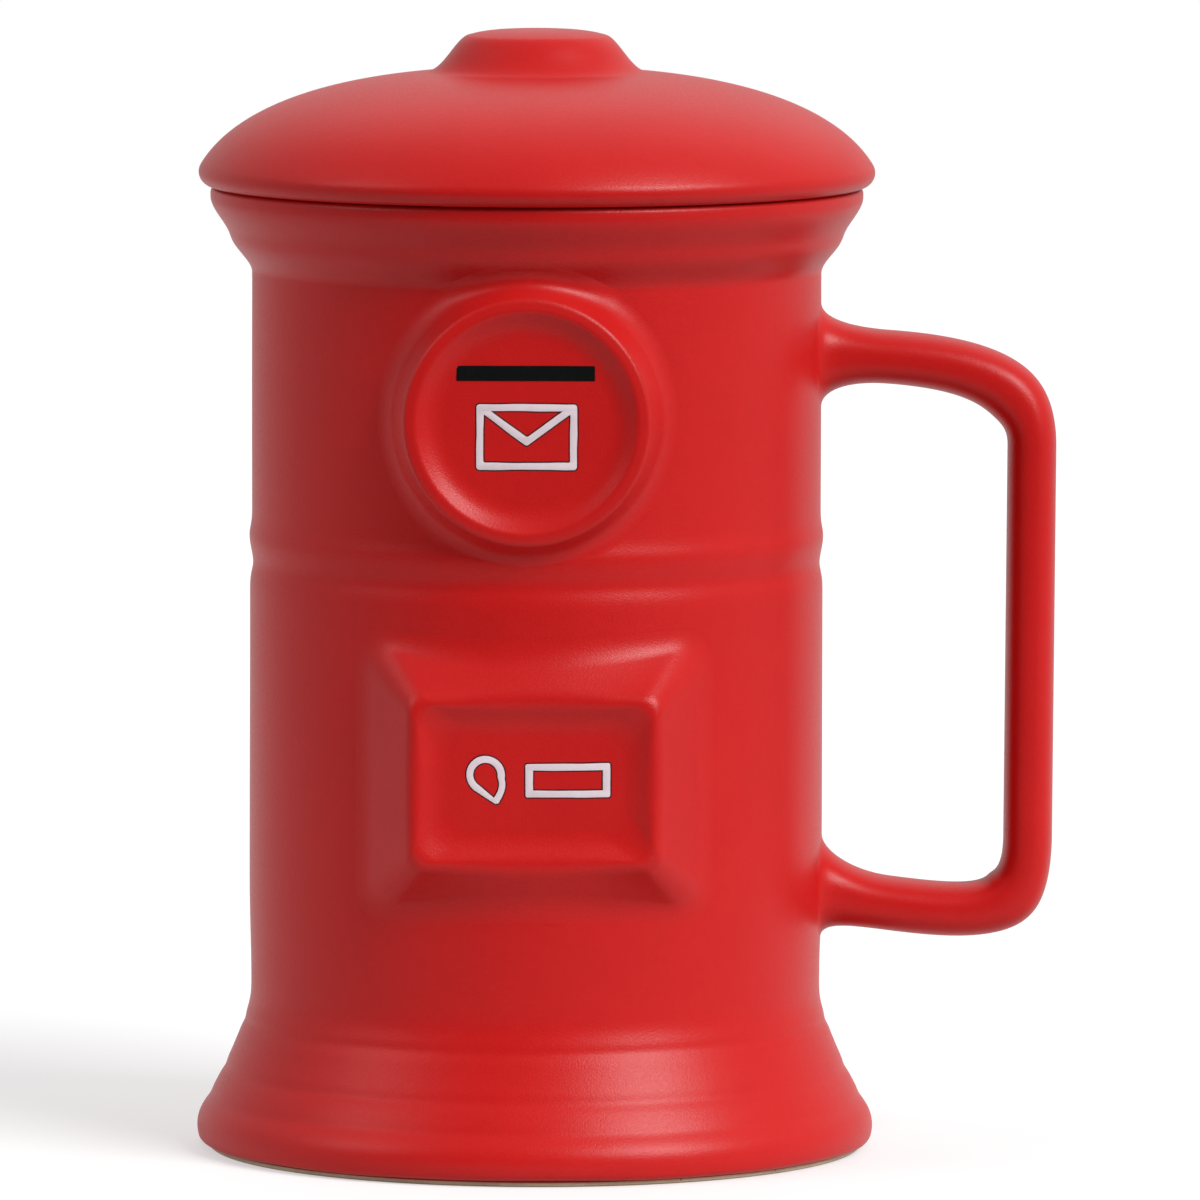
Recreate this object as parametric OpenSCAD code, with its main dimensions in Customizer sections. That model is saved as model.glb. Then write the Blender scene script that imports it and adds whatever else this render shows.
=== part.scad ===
// Lidded ceramic mug shaped like a pillar post box.
// Millimetres. Origin: centre of the foot on the table. +Z up, front -Y, handle +X.

/* [Cup] */
// Height of the cup from the table to its flat rim
body_h = 129.6; // [120:0.1:160]
// Outer radius of the upper wall
wall_r = 38.2; // [32:0.1:46]
// How much fuller the wall is below the waist
lower_fill = 0.3; // [0:0.05:0.5]
// Thickness of the cast wall
wall_t = 3.7; // [3:0.1:4.5]
// Extra thickness of the wall through the foot's flare
foot_extra_t = 0.4; // [0:0.1:1]
// Height of the cup's inner floor above the table
floor_z = 6.2; // [5.6:0.1:8]
// Radius between the inner floor and the inner wall
floor_fillet = 5; // [3:0.5:8]

/* [Foot] */
// How far the foot stands out past the upper wall
foot_out = 7.32; // [6:0.02:9]
// Height at which the foot's flare starts
flare_h = 20.8; // [18:0.1:26]
// Height of the widest line of the foot's lip
lip_z = 2.85; // [2.6:0.05:3.4]
// Radius of the lip's face
lip_face_r = 4.7; // [4:0.1:5.5]
// Radius of the lip's lower edge
lip_edge_r = 1.1; // [0.8:0.1:1.2]
// Lean of the flare where it meets the lip, in degrees from upright
lip_lean = 31; // [25:1:36]
// Depth of the soft turned rings on the flare
ring_depth = 0.12; // [0:0.02:0.3]
// Height of the bare clay line under the glaze
clay_h = 0.8; // [0.5:0.1:1.2]
// How far the bare clay is set back from the glazed edge
clay_setback = 0.4; // [0.2:0.1:0.8]
// Width of the ring of clay that stands on the table
clay_w = 4.4; // [3:0.1:6]
// Depth of the hollow under the cup
under_recess = 1.6; // [1:0.1:2]

/* [Waist] */
// Distance of the waist groove below the rim
waist_drop = 50.6; // [48:0.1:56]
// Depth of the waist groove
groove_depth = 0.42; // [0.2:0.02:0.6]
// Height of the bead above the wall
bead_out = 0.36; // [0.2:0.02:0.6]
// Distance from the groove up to the bead
bead_rise = 3.6; // [3:0.1:5]

/* [Rim] */
// Outward step of the lower rim moulding
rim_step_low = 2.9; // [2:0.1:3.5]
// Outward step of the upper rim moulding
rim_step_top = 2.7; // [2:0.1:3.5]
// Distance from the rim down to the foot of the lower moulding
rim_low_drop = 12.3; // [11:0.1:14]
// Distance from the rim down to the foot of the upper moulding
rim_top_drop = 7.2; // [6.5:0.1:8]
// Height that each moulding takes to step out
rim_step_h = 5.85; // [5:0.05:6.4]
// Thickness of the cup at its rim
rim_t = 3.9; // [3.2:0.1:4.6]
// Rounding of the rim's edges
rim_round = 0.9; // [0.5:0.1:1.2]

/* [Medallion] */
// Distance of the medallion's centre below the rim
med_drop = 28.6; // [27:0.1:32]
// Sideways offset of the medallion from the front line
med_x = -1.1; // [-2:0.1:2]
// Radius of the medallion's crest
med_r = 16.1; // [13:0.1:17]
// Spread of the medallion's collar from crest to wall
med_spread = 3; // [2:0.1:4]
// Width of the slope from the crest in to the sunk disc
med_slope = 3.6; // [2.5:0.1:4.5]
// Height of the crest in front of the wall
med_proud = 3.2; // [2.5:0.1:4]
// Depth of the sunk disc below the crest
med_recess = 1.4; // [0.8:0.1:2]

/* [Door panel] */
// Height of the panel's centre above the middle of the lower wall
panel_rise = 3; // [0:0.1:5]
// Half width of the panel's ridge
ridge_half_w = 16.4; // [13:0.1:17]
// Half height of the panel's ridge
ridge_half_h = 11.5; // [9:0.1:12.5]
// Sideways spread of the panel from ridge to wall
panel_spread_x = 6.5; // [5:0.1:7]
// Spread of the panel up and down from ridge to wall
panel_spread_z = 5.3; // [4:0.1:6]
// Extra spread up and down at the panel's far corners
panel_bow = 1.5; // [0:0.1:2]
// Width of the slope from the ridge in to the sunk field
panel_slope = 3.2; // [2.5:0.1:4]
// Height of the ridge in front of the wall
panel_proud = 2.9; // [2.5:0.1:4]
// Depth of the sunk field below the ridge
panel_recess = 1.4; // [0.8:0.1:2]

/* [Handle] */
// Distance of the upper arm's axis below the rim
arm_drop = 22.6; // [20:0.1:26]
// Height of the lower arm's root above the table
arm_root_z = 35.6; // [32:0.1:40]
// Distance from the wall to the grip's axis
grip_reach = 28.1; // [23:0.1:35]
// Thickness of the handle, seen from the front
handle_t = 6.6; // [5.5:0.1:8]
// Width of the handle, front to back
handle_w = 11.6; // [9:0.1:14]
// Growth of the handle where it meets the wall
root_grow = 3.9; // [2:0.1:5]

/* [Lid] */
// How far the lid's edge stands out past the rim
lid_out = 1.55; // [1:0.05:2.5]
// Height of the lid's dome above the rim
lid_rise = 15.88; // [14:0.02:20]
// Thickness of the lid
lid_t = 4; // [3:0.1:5]
// Depth of the flange that sits in the mouth
flange_h = 5; // [4:0.1:6]
// Thickness of the flange
flange_t = 3.2; // [2.5:0.1:4]
// Clearance between the flange and the mouth
flange_gap = 0.9; // [0.5:0.1:1.5]
// Height of the knob above the dome
knob_h = 5.12; // [4:0.02:8]
// Radius of the knob's rounded top
knob_top_r = 8.8; // [7:0.1:11]
// Width of the knob's sloping side
knob_side = 6; // [5:0.1:8]

/* [Decals] */
// Thickness of the fired-on colour
decal_t = 0.12; // [0.1:0.01:0.3]
// Width of the drawn lines
line_w = 0.85; // [0.6:0.05:1]
// Clearance from the ends of the black bar to the edge of the medallion's disc
slot_margin = 0.94; // [0.5:0.02:3]
// Height of the black bar
slot_h = 1.9; // [1.5:0.1:3]
// Height of the black bar above the medallion's centre
slot_up = 6.5; // [5:0.1:7.5]
// Width of the drawn envelope
envelope_w = 13.2; // [10:0.1:14]
// Height of the drawn envelope
envelope_h = 8.6; // [6:0.1:9]
// Distance of the envelope's centre below the medallion's centre
envelope_down = 1.9; // [1.5:0.1:3]
// Height of the panel's drawings above its centre
drawing_up = 0.7; // [0:0.1:1]
// Radius of the keyhole's round end
key_r = 2.3; // [1.8:0.1:2.6]
// Distance from the middle of the round end to the keyhole's tip
key_tip = 4.8; // [4:0.1:5.5]
// Sideways place of the keyhole's round end
key_x = -6.5; // [-8:0.1:-5]
// Width of the label outline
label_w = 11.1; // [8:0.1:12]
// Height of the label outline
label_h = 4.6; // [3.5:0.1:6]
// Sideways place of the label's centre
label_x = 4.4; // [3:0.1:6]

/* [Hidden] */
$fn = 96;

RED = "#b81c1c";
CLAY = "#c9a583";
WHITE = "#ece4e4";
BLACK = "#141616";

foot_r = wall_r + foot_out;
rim_r = wall_r + rim_step_low + rim_step_top;
mouth_r = rim_r - rim_t;
waist_z = body_h - waist_drop;
rim_z = body_h - rim_low_drop;
ring_heights = [17.6, 10.9, 5.9];
ring_width = 1.3;
fill_h = 16;              // height over which the lower wall fills out
bead_width = 1.65;
inner_flare_h = 12.6;     // height over which the inside opens to the mouth

med_z = body_h - med_drop;
med_plane = wall_r + med_proud;
med_floor = med_plane - med_recess;
disc_r = med_r - med_slope;
slot_w = 2 * (sqrt(pow(disc_r, 2) - pow(slot_up + slot_h / 2, 2)) - slot_margin);
panel_z = (flare_h + waist_z) / 2 + panel_rise;
panel_plane = wall_r + lower_fill + panel_proud;
panel_floor = panel_plane - panel_recess;
bury = 0.5;               // depth that a relief's skirt runs under the wall before it is trimmed
behind = 2;               // depth of a relief's flat back behind the wall's farthest point

lid_r = rim_r + lid_out;
knob_r = knob_top_r + knob_side;

function lerp(a, b, u) = a + (b - a) * u;
function smooth(u) = let (c = min(max(u, 0), 1)) c * c * (3 - 2 * c);
function bell(z, at, width) = exp(-pow((z - at) / width, 2));
function span(a, b, n) = [for (i = [0:n]) lerp(a, b, i / n)];
function arc(r, z, rad, from, to, n) =
    [for (a = span(from, to, n)) [r + rad * cos(a), z + rad * sin(a)]];

// ---- Cup profile -------------------------------------------------------------------------
// The lip's face starts where the flare reaches the lean lip_lean, tangent to it.
lip_r0 = foot_r - lip_face_r;
lip_start = [lip_r0 + lip_face_r * cos(lip_lean), lip_z + lip_face_r * sin(lip_lean)];
lip_turn = -15;           // angle at which the lip's face hands over to its lower edge
lip_low = [lip_r0 + (lip_face_r - lip_edge_r) * cos(lip_turn),
           lip_z + (lip_face_r - lip_edge_r) * sin(lip_turn)];
lip_drop = lip_low[1] - lip_edge_r - clay_h;
flare_t = flare_h - lip_start[1];
flare_gain = lip_start[0] - wall_r;
flare_curl = (tan(lip_lean) * flare_t - flare_gain) / pow(flare_t, 2);
flare_lean = tan(lip_lean) - 2 * flare_curl * flare_t;

function flare(z) = let (t = max(flare_h - z, 0)) flare_lean * t + flare_curl * t * t;
function rings(z) = ring_depth * (bell(z, ring_heights[0], ring_width)
    + bell(z, ring_heights[1], ring_width) + bell(z, ring_heights[2], ring_width));
function waist(z) = bead_out * bell(z, waist_z + bead_rise, bead_width)
    - groove_depth * bell(z, waist_z, bead_width);
function fill(z) = lower_fill * smooth((z - flare_h) / fill_h) * (1 - smooth((z - waist_z) / bead_rise));
function rim(z) = rim_step_low * smooth((z - rim_z) / rim_step_h)
    + rim_step_top * smooth((z - body_h + rim_top_drop) / rim_step_h);
function outer_r(z) = wall_r + flare(z) - (z < flare_h ? rings(z) : 0) + waist(z) + fill(z) + rim(z);

// Heights at which the outside is drawn, closest together where it bends.
outer_heights = concat(
    span(lip_start[1] + 0.6, flare_h, 16),
    span(flare_h + 2, waist_z - 5, 8),
    span(waist_z - 4, waist_z + 8, 20),
    span(waist_z + 10, rim_z - 1, 4),
    span(rim_z, body_h - rim_round - 0.1, 18));

function outer_line() = concat(
    arc(lip_low[0], lip_low[1] - lip_drop, lip_edge_r, -90, lip_turn, 5),
    arc(lip_r0, lip_z, lip_face_r, lip_turn + 4, lip_lean, 8),
    [for (z = outer_heights) [outer_r(z), z]],
    arc(rim_r - rim_round, body_h - rim_round, rim_round, 0, 90, 4));

function inner_r(z) = let (
        wall = wall_r - wall_t,
        mouth = (mouth_r - wall) * smooth((z - body_h + inner_flare_h) / inner_flare_h))
    wall + mouth + max(flare(z) - foot_extra_t, 0) + fill(z);

inner_low = floor_z + floor_fillet;
inner_heights = concat(
    span(body_h - rim_round - 0.6, body_h - inner_flare_h, 12),
    span(body_h - inner_flare_h - 6, flare_h + 8, 6),
    span(flare_h + 4, inner_low, 8));

function inner_line() = concat(
    arc(mouth_r + rim_round, body_h - rim_round, rim_round, 90, 180, 4),
    [for (z = inner_heights) [inner_r(z), z]],
    arc(inner_r(inner_low) - floor_fillet, inner_low, floor_fillet, -10, -90, 6));

clay_r = lip_low[0] - clay_setback;
under_z = clay_h + under_recess;

module cup_outside() {
    rotate_extrude()
        polygon(concat([[0, clay_h]], outer_line(), [[0, body_h]]));
}

module mug_body() {
    color(RED)
        rotate_extrude()
            polygon(concat(
                [[0, under_z], [clay_r - clay_w - under_recess, under_z], [clay_r - clay_w, clay_h]],
                outer_line(), inner_line(), [[0, floor_z]]));
}

module foot_ring() {
    edge = 0.3;
    in_r = clay_r - clay_w;
    color(CLAY)
        rotate_extrude()
            polygon([[in_r + edge, 0], [clay_r - edge, 0], [clay_r, edge], [clay_r, clay_h],
                     [in_r, clay_h], [in_r, edge]]);
}

// ---- Reliefs -----------------------------------------------------------------------------
// A solid skinned over closed loops with equal numbers of points. Each end is a fan round its middle.
function middle(loop) = [for (v = loop) 1] * loop / len(loop);
module skin(loops) {
    n = len(loops[0]);
    last = len(loops) - 1;
    hub = n * len(loops);
    points = concat([for (loop = loops) each loop], [middle(loops[0]), middle(loops[last])]);
    sides = [for (k = [0:last - 1], i = [0:n - 1]) let (j = (i + 1) % n, a = k * n, b = a + n)
        each [[a + j, a + i, b + j], [b + j, a + i, b + i]]];
    ends = [for (i = [0:n - 1]) let (j = (i + 1) % n, b = last * n)
        each [[i, j, hub], [b + j, b + i, hub + 1]]];
    polyhedron(points = points, faces = concat(sides, ends), convexity = 6);
}

function on_wall(r, x) = -sqrt(r * r - x * x);

// A ring of the medallion: radius r, height h from the wall (0) to the crest plane (1).
med_sides = 60;
collar_steps = 6;
function med_ring(r, h) = [for (i = [0:med_sides - 1])
    let (a = 360 * i / med_sides, x = med_x + r * cos(a))
    [x, lerp(on_wall(wall_r, x), -med_plane, h), med_z + r * sin(a)]];
function med_disc(r, y) = [for (i = [0:med_sides - 1]) let (a = 360 * i / med_sides)
    [med_x + r * cos(a), y, med_z + r * sin(a)]];

module medallion() {
    outer = med_r + med_spread;
    skirt_r = outer + bury;
    skirt = [for (i = [0:med_sides - 1]) let (a = 360 * i / med_sides, x = med_x + skirt_r * cos(a))
        [x, on_wall(wall_r, x) + bury, med_z + skirt_r * sin(a)]];
    color(RED)
        difference() {
            skin(concat(
                [med_disc(skirt_r, on_wall(wall_r, skirt_r + abs(med_x)) + behind), skirt],
                [for (u = span(0.12, 1, collar_steps)) med_ring(lerp(outer, med_r, u), smooth(u))],
                [for (u = span(0.2, 1, collar_steps - 1))
                    med_disc(med_r - med_slope * u, -med_plane + med_recess * smooth(u))]));
            cup_outside();
        }
}

// A rounded rectangle with half sizes [w, h] and corner radius c, as [x, z].
corner_steps = 4;
side_steps = 8;
function frame_loop(size, c) =
    let (w = size[0], h = size[1], mid = [[w - c, c - h], [w - c, h - c], [c - w, h - c], [c - w, c - h]])
    [for (q = [0:3]) let (a = 90 * q, out = [c * cos(a), c * sin(a)])
        each concat(
            arc(mid[q][0], mid[q][1], c, a - 90, a, corner_steps),
            [for (i = [1:side_steps - 1]) lerp(mid[q], mid[(q + 1) % 4], i / side_steps) + out])];
// The same outline at depth y, flat, or bent round the wall with its long sides bowed by panel_bow.
function flat_frame(size, c, y) = [for (p = frame_loop(size, c)) [p[0], y, panel_z + p[1]]];
function bent_frame(size, c, y, bend = 1) = [for (p = frame_loop(size, c))
    [p[0], y + bend * on_wall(wall_r + lower_fill, p[0]),
     panel_z + p[1] + sign(p[1]) * panel_bow * pow(p[0] / size[0], 2)]];

module door_panel() {
    ridge = [ridge_half_w, ridge_half_h];
    foot = ridge + [panel_spread_x, panel_spread_z];
    skirt = foot + [bury, bury];
    field = ridge - [panel_slope, panel_slope];
    corner = 1.6;
    field_corner = 2;
    brow = [0.7, 0.7];    // half width of the ridge's rounded top
    brow_out = 0.35;      // fall of that top towards the wall
    brow_in = 0.2;        // fall of that top towards the sunk field, and rise of the field's edge
    nip = 0.12;           // height of the foot line above the wall
    color(RED)
        difference() {
            skin([
                bent_frame(skirt, corner, on_wall(wall_r, skirt[0]) + behind, 0),
                bent_frame(skirt, corner, bury),
                bent_frame(foot, corner, -nip),
                flat_frame(ridge + brow, corner, brow_out - panel_plane),
                flat_frame(ridge, corner, -panel_plane),
                flat_frame(ridge - brow, corner, brow_in - panel_plane),
                flat_frame(field + brow / 2, field_corner, -brow_in - panel_floor),
                flat_frame(field, field_corner, -panel_floor)]);
            cup_outside();
        }
}

// ---- Handle ------------------------------------------------------------------------------
// Its axis is a curve for the upper arm, a straight grip and a curve for the lower arm, as [x, z].
grip_x = wall_r + grip_reach;
grip_lean = 0.3;          // the grip leans out by this much from bottom to top
arm_z = body_h - arm_drop;
upper_bend = 15.5;        // fall from the upper arm to the straight grip
lower_bend = 10.9;        // rise from the lower arm's root to the straight grip
arm_sag = 5.6;            // fall of the lower arm from its root to its middle
grip_top = [grip_x + grip_lean, arm_z - upper_bend];
grip_low = [grip_x, arm_root_z + lower_bend];
root_x = wall_r - 1.2;
upper_arm = [[root_x, arm_z], [grip_x - 8.5, arm_z], [grip_top[0], arm_z - 2.5], grip_top];
lower_arm = [grip_low, [grip_x, arm_root_z - arm_sag - 1.8], [grip_x - 12, arm_root_z - arm_sag],
             [root_x, arm_root_z]];

function bezier(p, t) = pow(1 - t, 3) * p[0] + 3 * t * pow(1 - t, 2) * p[1]
    + 3 * t * t * (1 - t) * p[2] + pow(t, 3) * p[3];
function bezier_dir(p, t) = let (d = pow(1 - t, 2) * (p[1] - p[0]) + 2 * t * (1 - t) * (p[2] - p[1])
    + t * t * (p[3] - p[2])) d / norm(d);

// A rounded cross-section at p, square to the direction d.
handle_sides = 24;
squareness = 0.8;         // 1 gives an oval, less gives a boxier section
root_run = 5;             // length over which the arm thickens towards its root
root_fillet = 1.6;        // extra growth of the fillet at the wall
fillet_run = 0.7;         // length over which that fillet dies out
function root(x) = min(2 * root_grow,
    root_grow * exp((wall_r - x) / root_run) + root_fillet * exp((wall_r - x) / fillet_run));
function power(v) = sign(v) * pow(abs(v), squareness);
function handle_loop(p, d) =
    let (grow = root(p[0]), half_t = (handle_t + grow) / 2, half_w = handle_w / 2 + grow / 4)
    [for (i = [0:handle_sides - 1]) let (a = 360 * i / handle_sides, s = half_t * power(cos(a)))
        [p[0] - d[1] * s, -half_w * power(sin(a)), p[1] + d[0] * s]];

module handle() {
    arm_steps = 20;
    grip_dir = (grip_low - grip_top) / norm(grip_low - grip_top);
    color(RED)
        difference() {
            skin(concat(
                [for (t = span(0, 1, arm_steps)) handle_loop(bezier(upper_arm, t), bezier_dir(upper_arm, t))],
                [for (u = [0.25, 0.5, 0.75]) handle_loop(lerp(grip_top, grip_low, u), grip_dir)],
                [for (t = span(0, 1, arm_steps)) handle_loop(bezier(lower_arm, t), bezier_dir(lower_arm, t))]));
            cup_outside();
        }
}

// ---- Lid ---------------------------------------------------------------------------------
dome_reach = 1.8;         // distance past the lid's edge at which the dome's curve would close
dome_fall = 21.42;        // full fall of that curve
dome_crown = 2.49;        // a higher power gives a flatter crown
dome_shoulder = 2.455;    // a higher power gives a fuller shoulder
edge_in = 0.25;           // distance from the lid's widest line to where its rounded edge starts
function dome_z(r) = body_h + lid_rise
    - dome_fall * (1 - pow(1 - pow(r / (lid_r + dome_reach), dome_crown), 1 / dome_shoulder));

edge_r0 = lid_r - edge_in;
step = 0.01;              // half the step used to measure the dome's slope at the edge
edge_lean = atan(2 * step / (dome_z(edge_r0 - step) - dome_z(edge_r0 + step)));
edge_rad = (dome_z(edge_r0) - body_h) / (1 + sin(edge_lean));
flange_r = inner_r(body_h - flange_h) - flange_gap;
hollow_r = flange_r - flange_t;
hollow_round = 4;

module lid_dome() {
    top = [for (r = span(knob_r, edge_r0, 26)) [r, dome_z(r)]];
    edge = arc(edge_r0 - edge_rad * cos(edge_lean), body_h + edge_rad, edge_rad, edge_lean - 6, -90, 9);
    corner_r = hollow_r - hollow_round;
    hollow = [for (r = span(corner_r, 0, 12)) [r, dome_z(max(r, knob_r)) - lid_t]];
    color(RED)
        rotate_extrude()
            polygon(concat([[0, dome_z(knob_r)]], top, edge,
                [[hollow_r, body_h]],
                arc(corner_r, hollow[0][1] - hollow_round, hollow_round, 0, 65, 4),
                hollow));
}

module lid_flange() {
    edge = 0.8;
    low = body_h - flange_h;
    color(RED)
        rotate_extrude()
            polygon(concat(
                arc(hollow_r + edge, low + edge, edge, 180, 270, 3),
                arc(flange_r - edge, low + edge, edge, -90, 0, 3),
                [[flange_r, body_h], [hollow_r, body_h]]));
}

module lid_knob() {
    color(RED)
        rotate_extrude()
            polygon(concat([[0, dome_z(knob_r)]],
                [for (r = concat(span(knob_r, knob_top_r, 14), span(knob_top_r - 2, 0, 3)))
                    [r, dome_z(r) + knob_h * (1 - smooth((r - knob_top_r) / knob_side))]]));
}

// ---- Decals ------------------------------------------------------------------------------
// Lays a flat drawing, made with x to the right and y up, on an upright plane facing the front.
module on_plane(x, y, z) {
    translate([x, y, z])
        rotate([90, 0, 0])
            linear_extrude(decal_t)
                children();
}

// A straight drawn line with round ends.
module stroke(p, q) {
    d = (q - p) / norm(q - p) * line_w / 2;
    side = [-d[1], d[0]];
    polygon([p + side, p - side, q - side, q + side]);
    for (end = [p, q])
        translate(end)
            circle(d = line_w, $fn = 24);
}

module slot_decal() {
    color(BLACK)
        on_plane(med_x, -med_floor, med_z + slot_up)
            square([slot_w, slot_h], center = true);
}

module envelope_decal() {
    w = (envelope_w - line_w) / 2;
    h = (envelope_h - line_w) / 2;
    flap = [0, -h * 0.15];
    outline = [[-w, h], [w, h], [w, -h], [-w, -h]];
    color(WHITE)
        on_plane(med_x, -med_floor, med_z - envelope_down) {
            for (i = [0:3])
                stroke(outline[i], outline[(i + 1) % 4]);
            stroke(outline[0], flap);
            stroke(flap, outline[1]);
        }
}

// A drop: a circle with a tip at distance tip, pointing down and to the right.
tip_turn = -62;
module drop(r, tip) {
    touch = acos(r / tip);
    circle(r);
    rotate(tip_turn)
        polygon([[0, 0], [r * cos(touch), -r * sin(touch)], [tip, 0], [r * cos(touch), r * sin(touch)]]);
}

module keyhole_decal() {
    inner_key = key_r - line_w;
    color(WHITE)
        on_plane(key_x, -panel_floor, panel_z + drawing_up + key_tip / 2 * sin(-tip_turn) - key_r / 2)
            difference() {
                drop(key_r, key_tip);
                drop(inner_key, key_tip * inner_key / key_r);
            }
}

module label_decal() {
    color(WHITE)
        on_plane(label_x, -panel_floor, panel_z + drawing_up)
            difference() {
                square([label_w, label_h], center = true);
                square([label_w - 2 * line_w, label_h - 2 * line_w], center = true);
            }
}

mug_body();
foot_ring();
handle();
medallion();
door_panel();
slot_decal();
envelope_decal();
keyhole_decal();
label_decal();
lid_dome();
lid_flange();
lid_knob();
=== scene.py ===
"""A lidded stoneware mug in the form of a round pillar box, modelled and glazed around its CAD frame.

Sizes are in millimetres and become metres where a mesh is made. The front faces -Y and +Z is up.
"""

import logging
import math
from collections.abc import Callable, Mapping, Sequence
from dataclasses import dataclass, field
from enum import Enum

import bmesh
import bpy
import numpy as np
from mathutils import Euler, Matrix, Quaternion, Vector
from mathutils.geometry import tessellate_polygon


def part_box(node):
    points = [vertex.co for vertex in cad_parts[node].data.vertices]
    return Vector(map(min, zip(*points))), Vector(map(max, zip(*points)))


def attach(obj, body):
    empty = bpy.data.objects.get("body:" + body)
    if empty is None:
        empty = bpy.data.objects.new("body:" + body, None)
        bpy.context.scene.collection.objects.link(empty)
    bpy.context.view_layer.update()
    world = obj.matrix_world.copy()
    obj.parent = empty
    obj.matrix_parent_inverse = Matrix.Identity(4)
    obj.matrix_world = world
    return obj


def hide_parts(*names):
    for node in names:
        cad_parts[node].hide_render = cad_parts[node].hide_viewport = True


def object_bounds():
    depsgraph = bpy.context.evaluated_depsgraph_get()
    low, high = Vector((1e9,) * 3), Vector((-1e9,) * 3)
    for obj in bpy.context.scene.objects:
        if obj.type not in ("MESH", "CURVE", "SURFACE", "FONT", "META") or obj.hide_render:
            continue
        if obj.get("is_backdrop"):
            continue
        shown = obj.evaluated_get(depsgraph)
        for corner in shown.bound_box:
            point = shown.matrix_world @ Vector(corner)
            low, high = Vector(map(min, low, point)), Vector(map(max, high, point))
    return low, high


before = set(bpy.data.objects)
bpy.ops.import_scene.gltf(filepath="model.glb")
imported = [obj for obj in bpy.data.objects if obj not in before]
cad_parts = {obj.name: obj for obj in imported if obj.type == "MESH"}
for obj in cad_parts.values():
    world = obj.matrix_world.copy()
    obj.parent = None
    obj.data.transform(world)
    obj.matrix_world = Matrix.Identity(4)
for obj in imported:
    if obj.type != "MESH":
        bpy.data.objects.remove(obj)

MM = 0.001
WHITE = (1.0, 1.0, 1.0, 1.0)
LOG = logging.getLogger("pillar_mug")

Colour = tuple[float, float, float, float]
Socket = bpy.types.NodeSocket
Sockets = Mapping[str, Socket]


class Body(str, Enum):
    """The bodies of the frame that pieces ride on."""

    MUG = "mug"
    LID = "lid"


class Slot(str, Enum):
    """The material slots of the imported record."""

    RED = "red_glaze"
    CLAY = "bare_clay"
    BLACK = "black_decal"
    WHITE = "white_decal"


# ---- Numbers and outlines ----


def smooth(u: np.ndarray | float) -> np.ndarray:
    """A soft step from 0 at u 0 to 1 at u 1."""
    c = np.clip(u, 0.0, 1.0)
    return c * c * (3 - 2 * c)


def bell(z: np.ndarray | float, at: float, width: float) -> np.ndarray:
    """A round bump of height 1 at a height, with a width."""
    return np.exp(-(((z - at) / width) ** 2))


def turn(count: int) -> np.ndarray:
    """Angles of one full turn in equal steps, in radians."""
    return np.linspace(0, 2 * math.pi, count, endpoint=False)


def arc(r: float, z: float, radius: float, start: float, end: float, steps: int) -> np.ndarray:
    """Points on an arc of a turned profile.

    Args:
        r: Radius of the arc's centre from the axis.
        z: Height of the arc's centre.
        radius: The arc's own radius.
        start: Angle at which it starts, in degrees above the outward direction.
        end: Angle at which it ends.
        steps: Number of steps.

    Returns:
        One row per point, as radius and height.
    """
    a = np.radians(np.linspace(start, end, steps + 1))
    return np.column_stack([r + radius * np.cos(a), z + radius * np.sin(a)])


def unit(v: np.ndarray) -> np.ndarray:
    """Vectors scaled to length 1."""
    return v / np.maximum(np.linalg.norm(v, axis=-1, keepdims=True), 1e-9)


def round_corners(stations: Sequence[np.ndarray], cuts: Sequence[float], steps: int = 8) -> np.ndarray:
    """Runs a line through stations for each point of an outline, with its inner corners rounded.

    Args:
        stations: Loops of points, each (points, 3), in order along the line.
        cuts: Length cut off on each side of every inner station, first to last.
        steps: Steps in each rounding.

    Returns:
        The loops of the rounded line, as (loops, points, 3).
    """
    rows = [stations[0]]
    for k, cut in enumerate(cuts):
        before, at, after = stations[k : k + 3]
        back, on = before - at, after - at
        share = 0.98 if k == len(cuts) - 1 else 0.49
        near = np.minimum(cut, 0.49 * np.linalg.norm(back, axis=1, keepdims=True))
        far = np.minimum(cut, share * np.linalg.norm(on, axis=1, keepdims=True))
        a, b = at + unit(back) * near, at + unit(on) * far
        rows += [(1 - u) ** 2 * a + 2 * u * (1 - u) * at + u * u * b for u in np.linspace(0, 1, steps + 1)]
    rows.append(stations[-1])
    return np.array(rows)


# ---- Meshes ----


def make_object(name: str, points: np.ndarray, faces: list[tuple[int, ...]]) -> bpy.types.Object:
    """Makes a smooth-shaded closed mesh with its faces turned outwards.

    Args:
        name: Name of the object and its mesh.
        points: Points in millimetres, (count, 3).
        faces: Corners of each face.

    Returns:
        The new object, linked to the scene.
    """
    mesh = bpy.data.meshes.new(name)
    mesh.from_pydata((points * MM).tolist(), [], faces)
    work = bmesh.new()
    work.from_mesh(mesh)
    bmesh.ops.recalc_face_normals(work, faces=work.faces)
    work.to_mesh(mesh)
    work.free()
    mesh.shade_smooth()
    piece = bpy.data.objects.new(name, mesh)
    bpy.context.scene.collection.objects.link(piece)
    return piece


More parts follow.
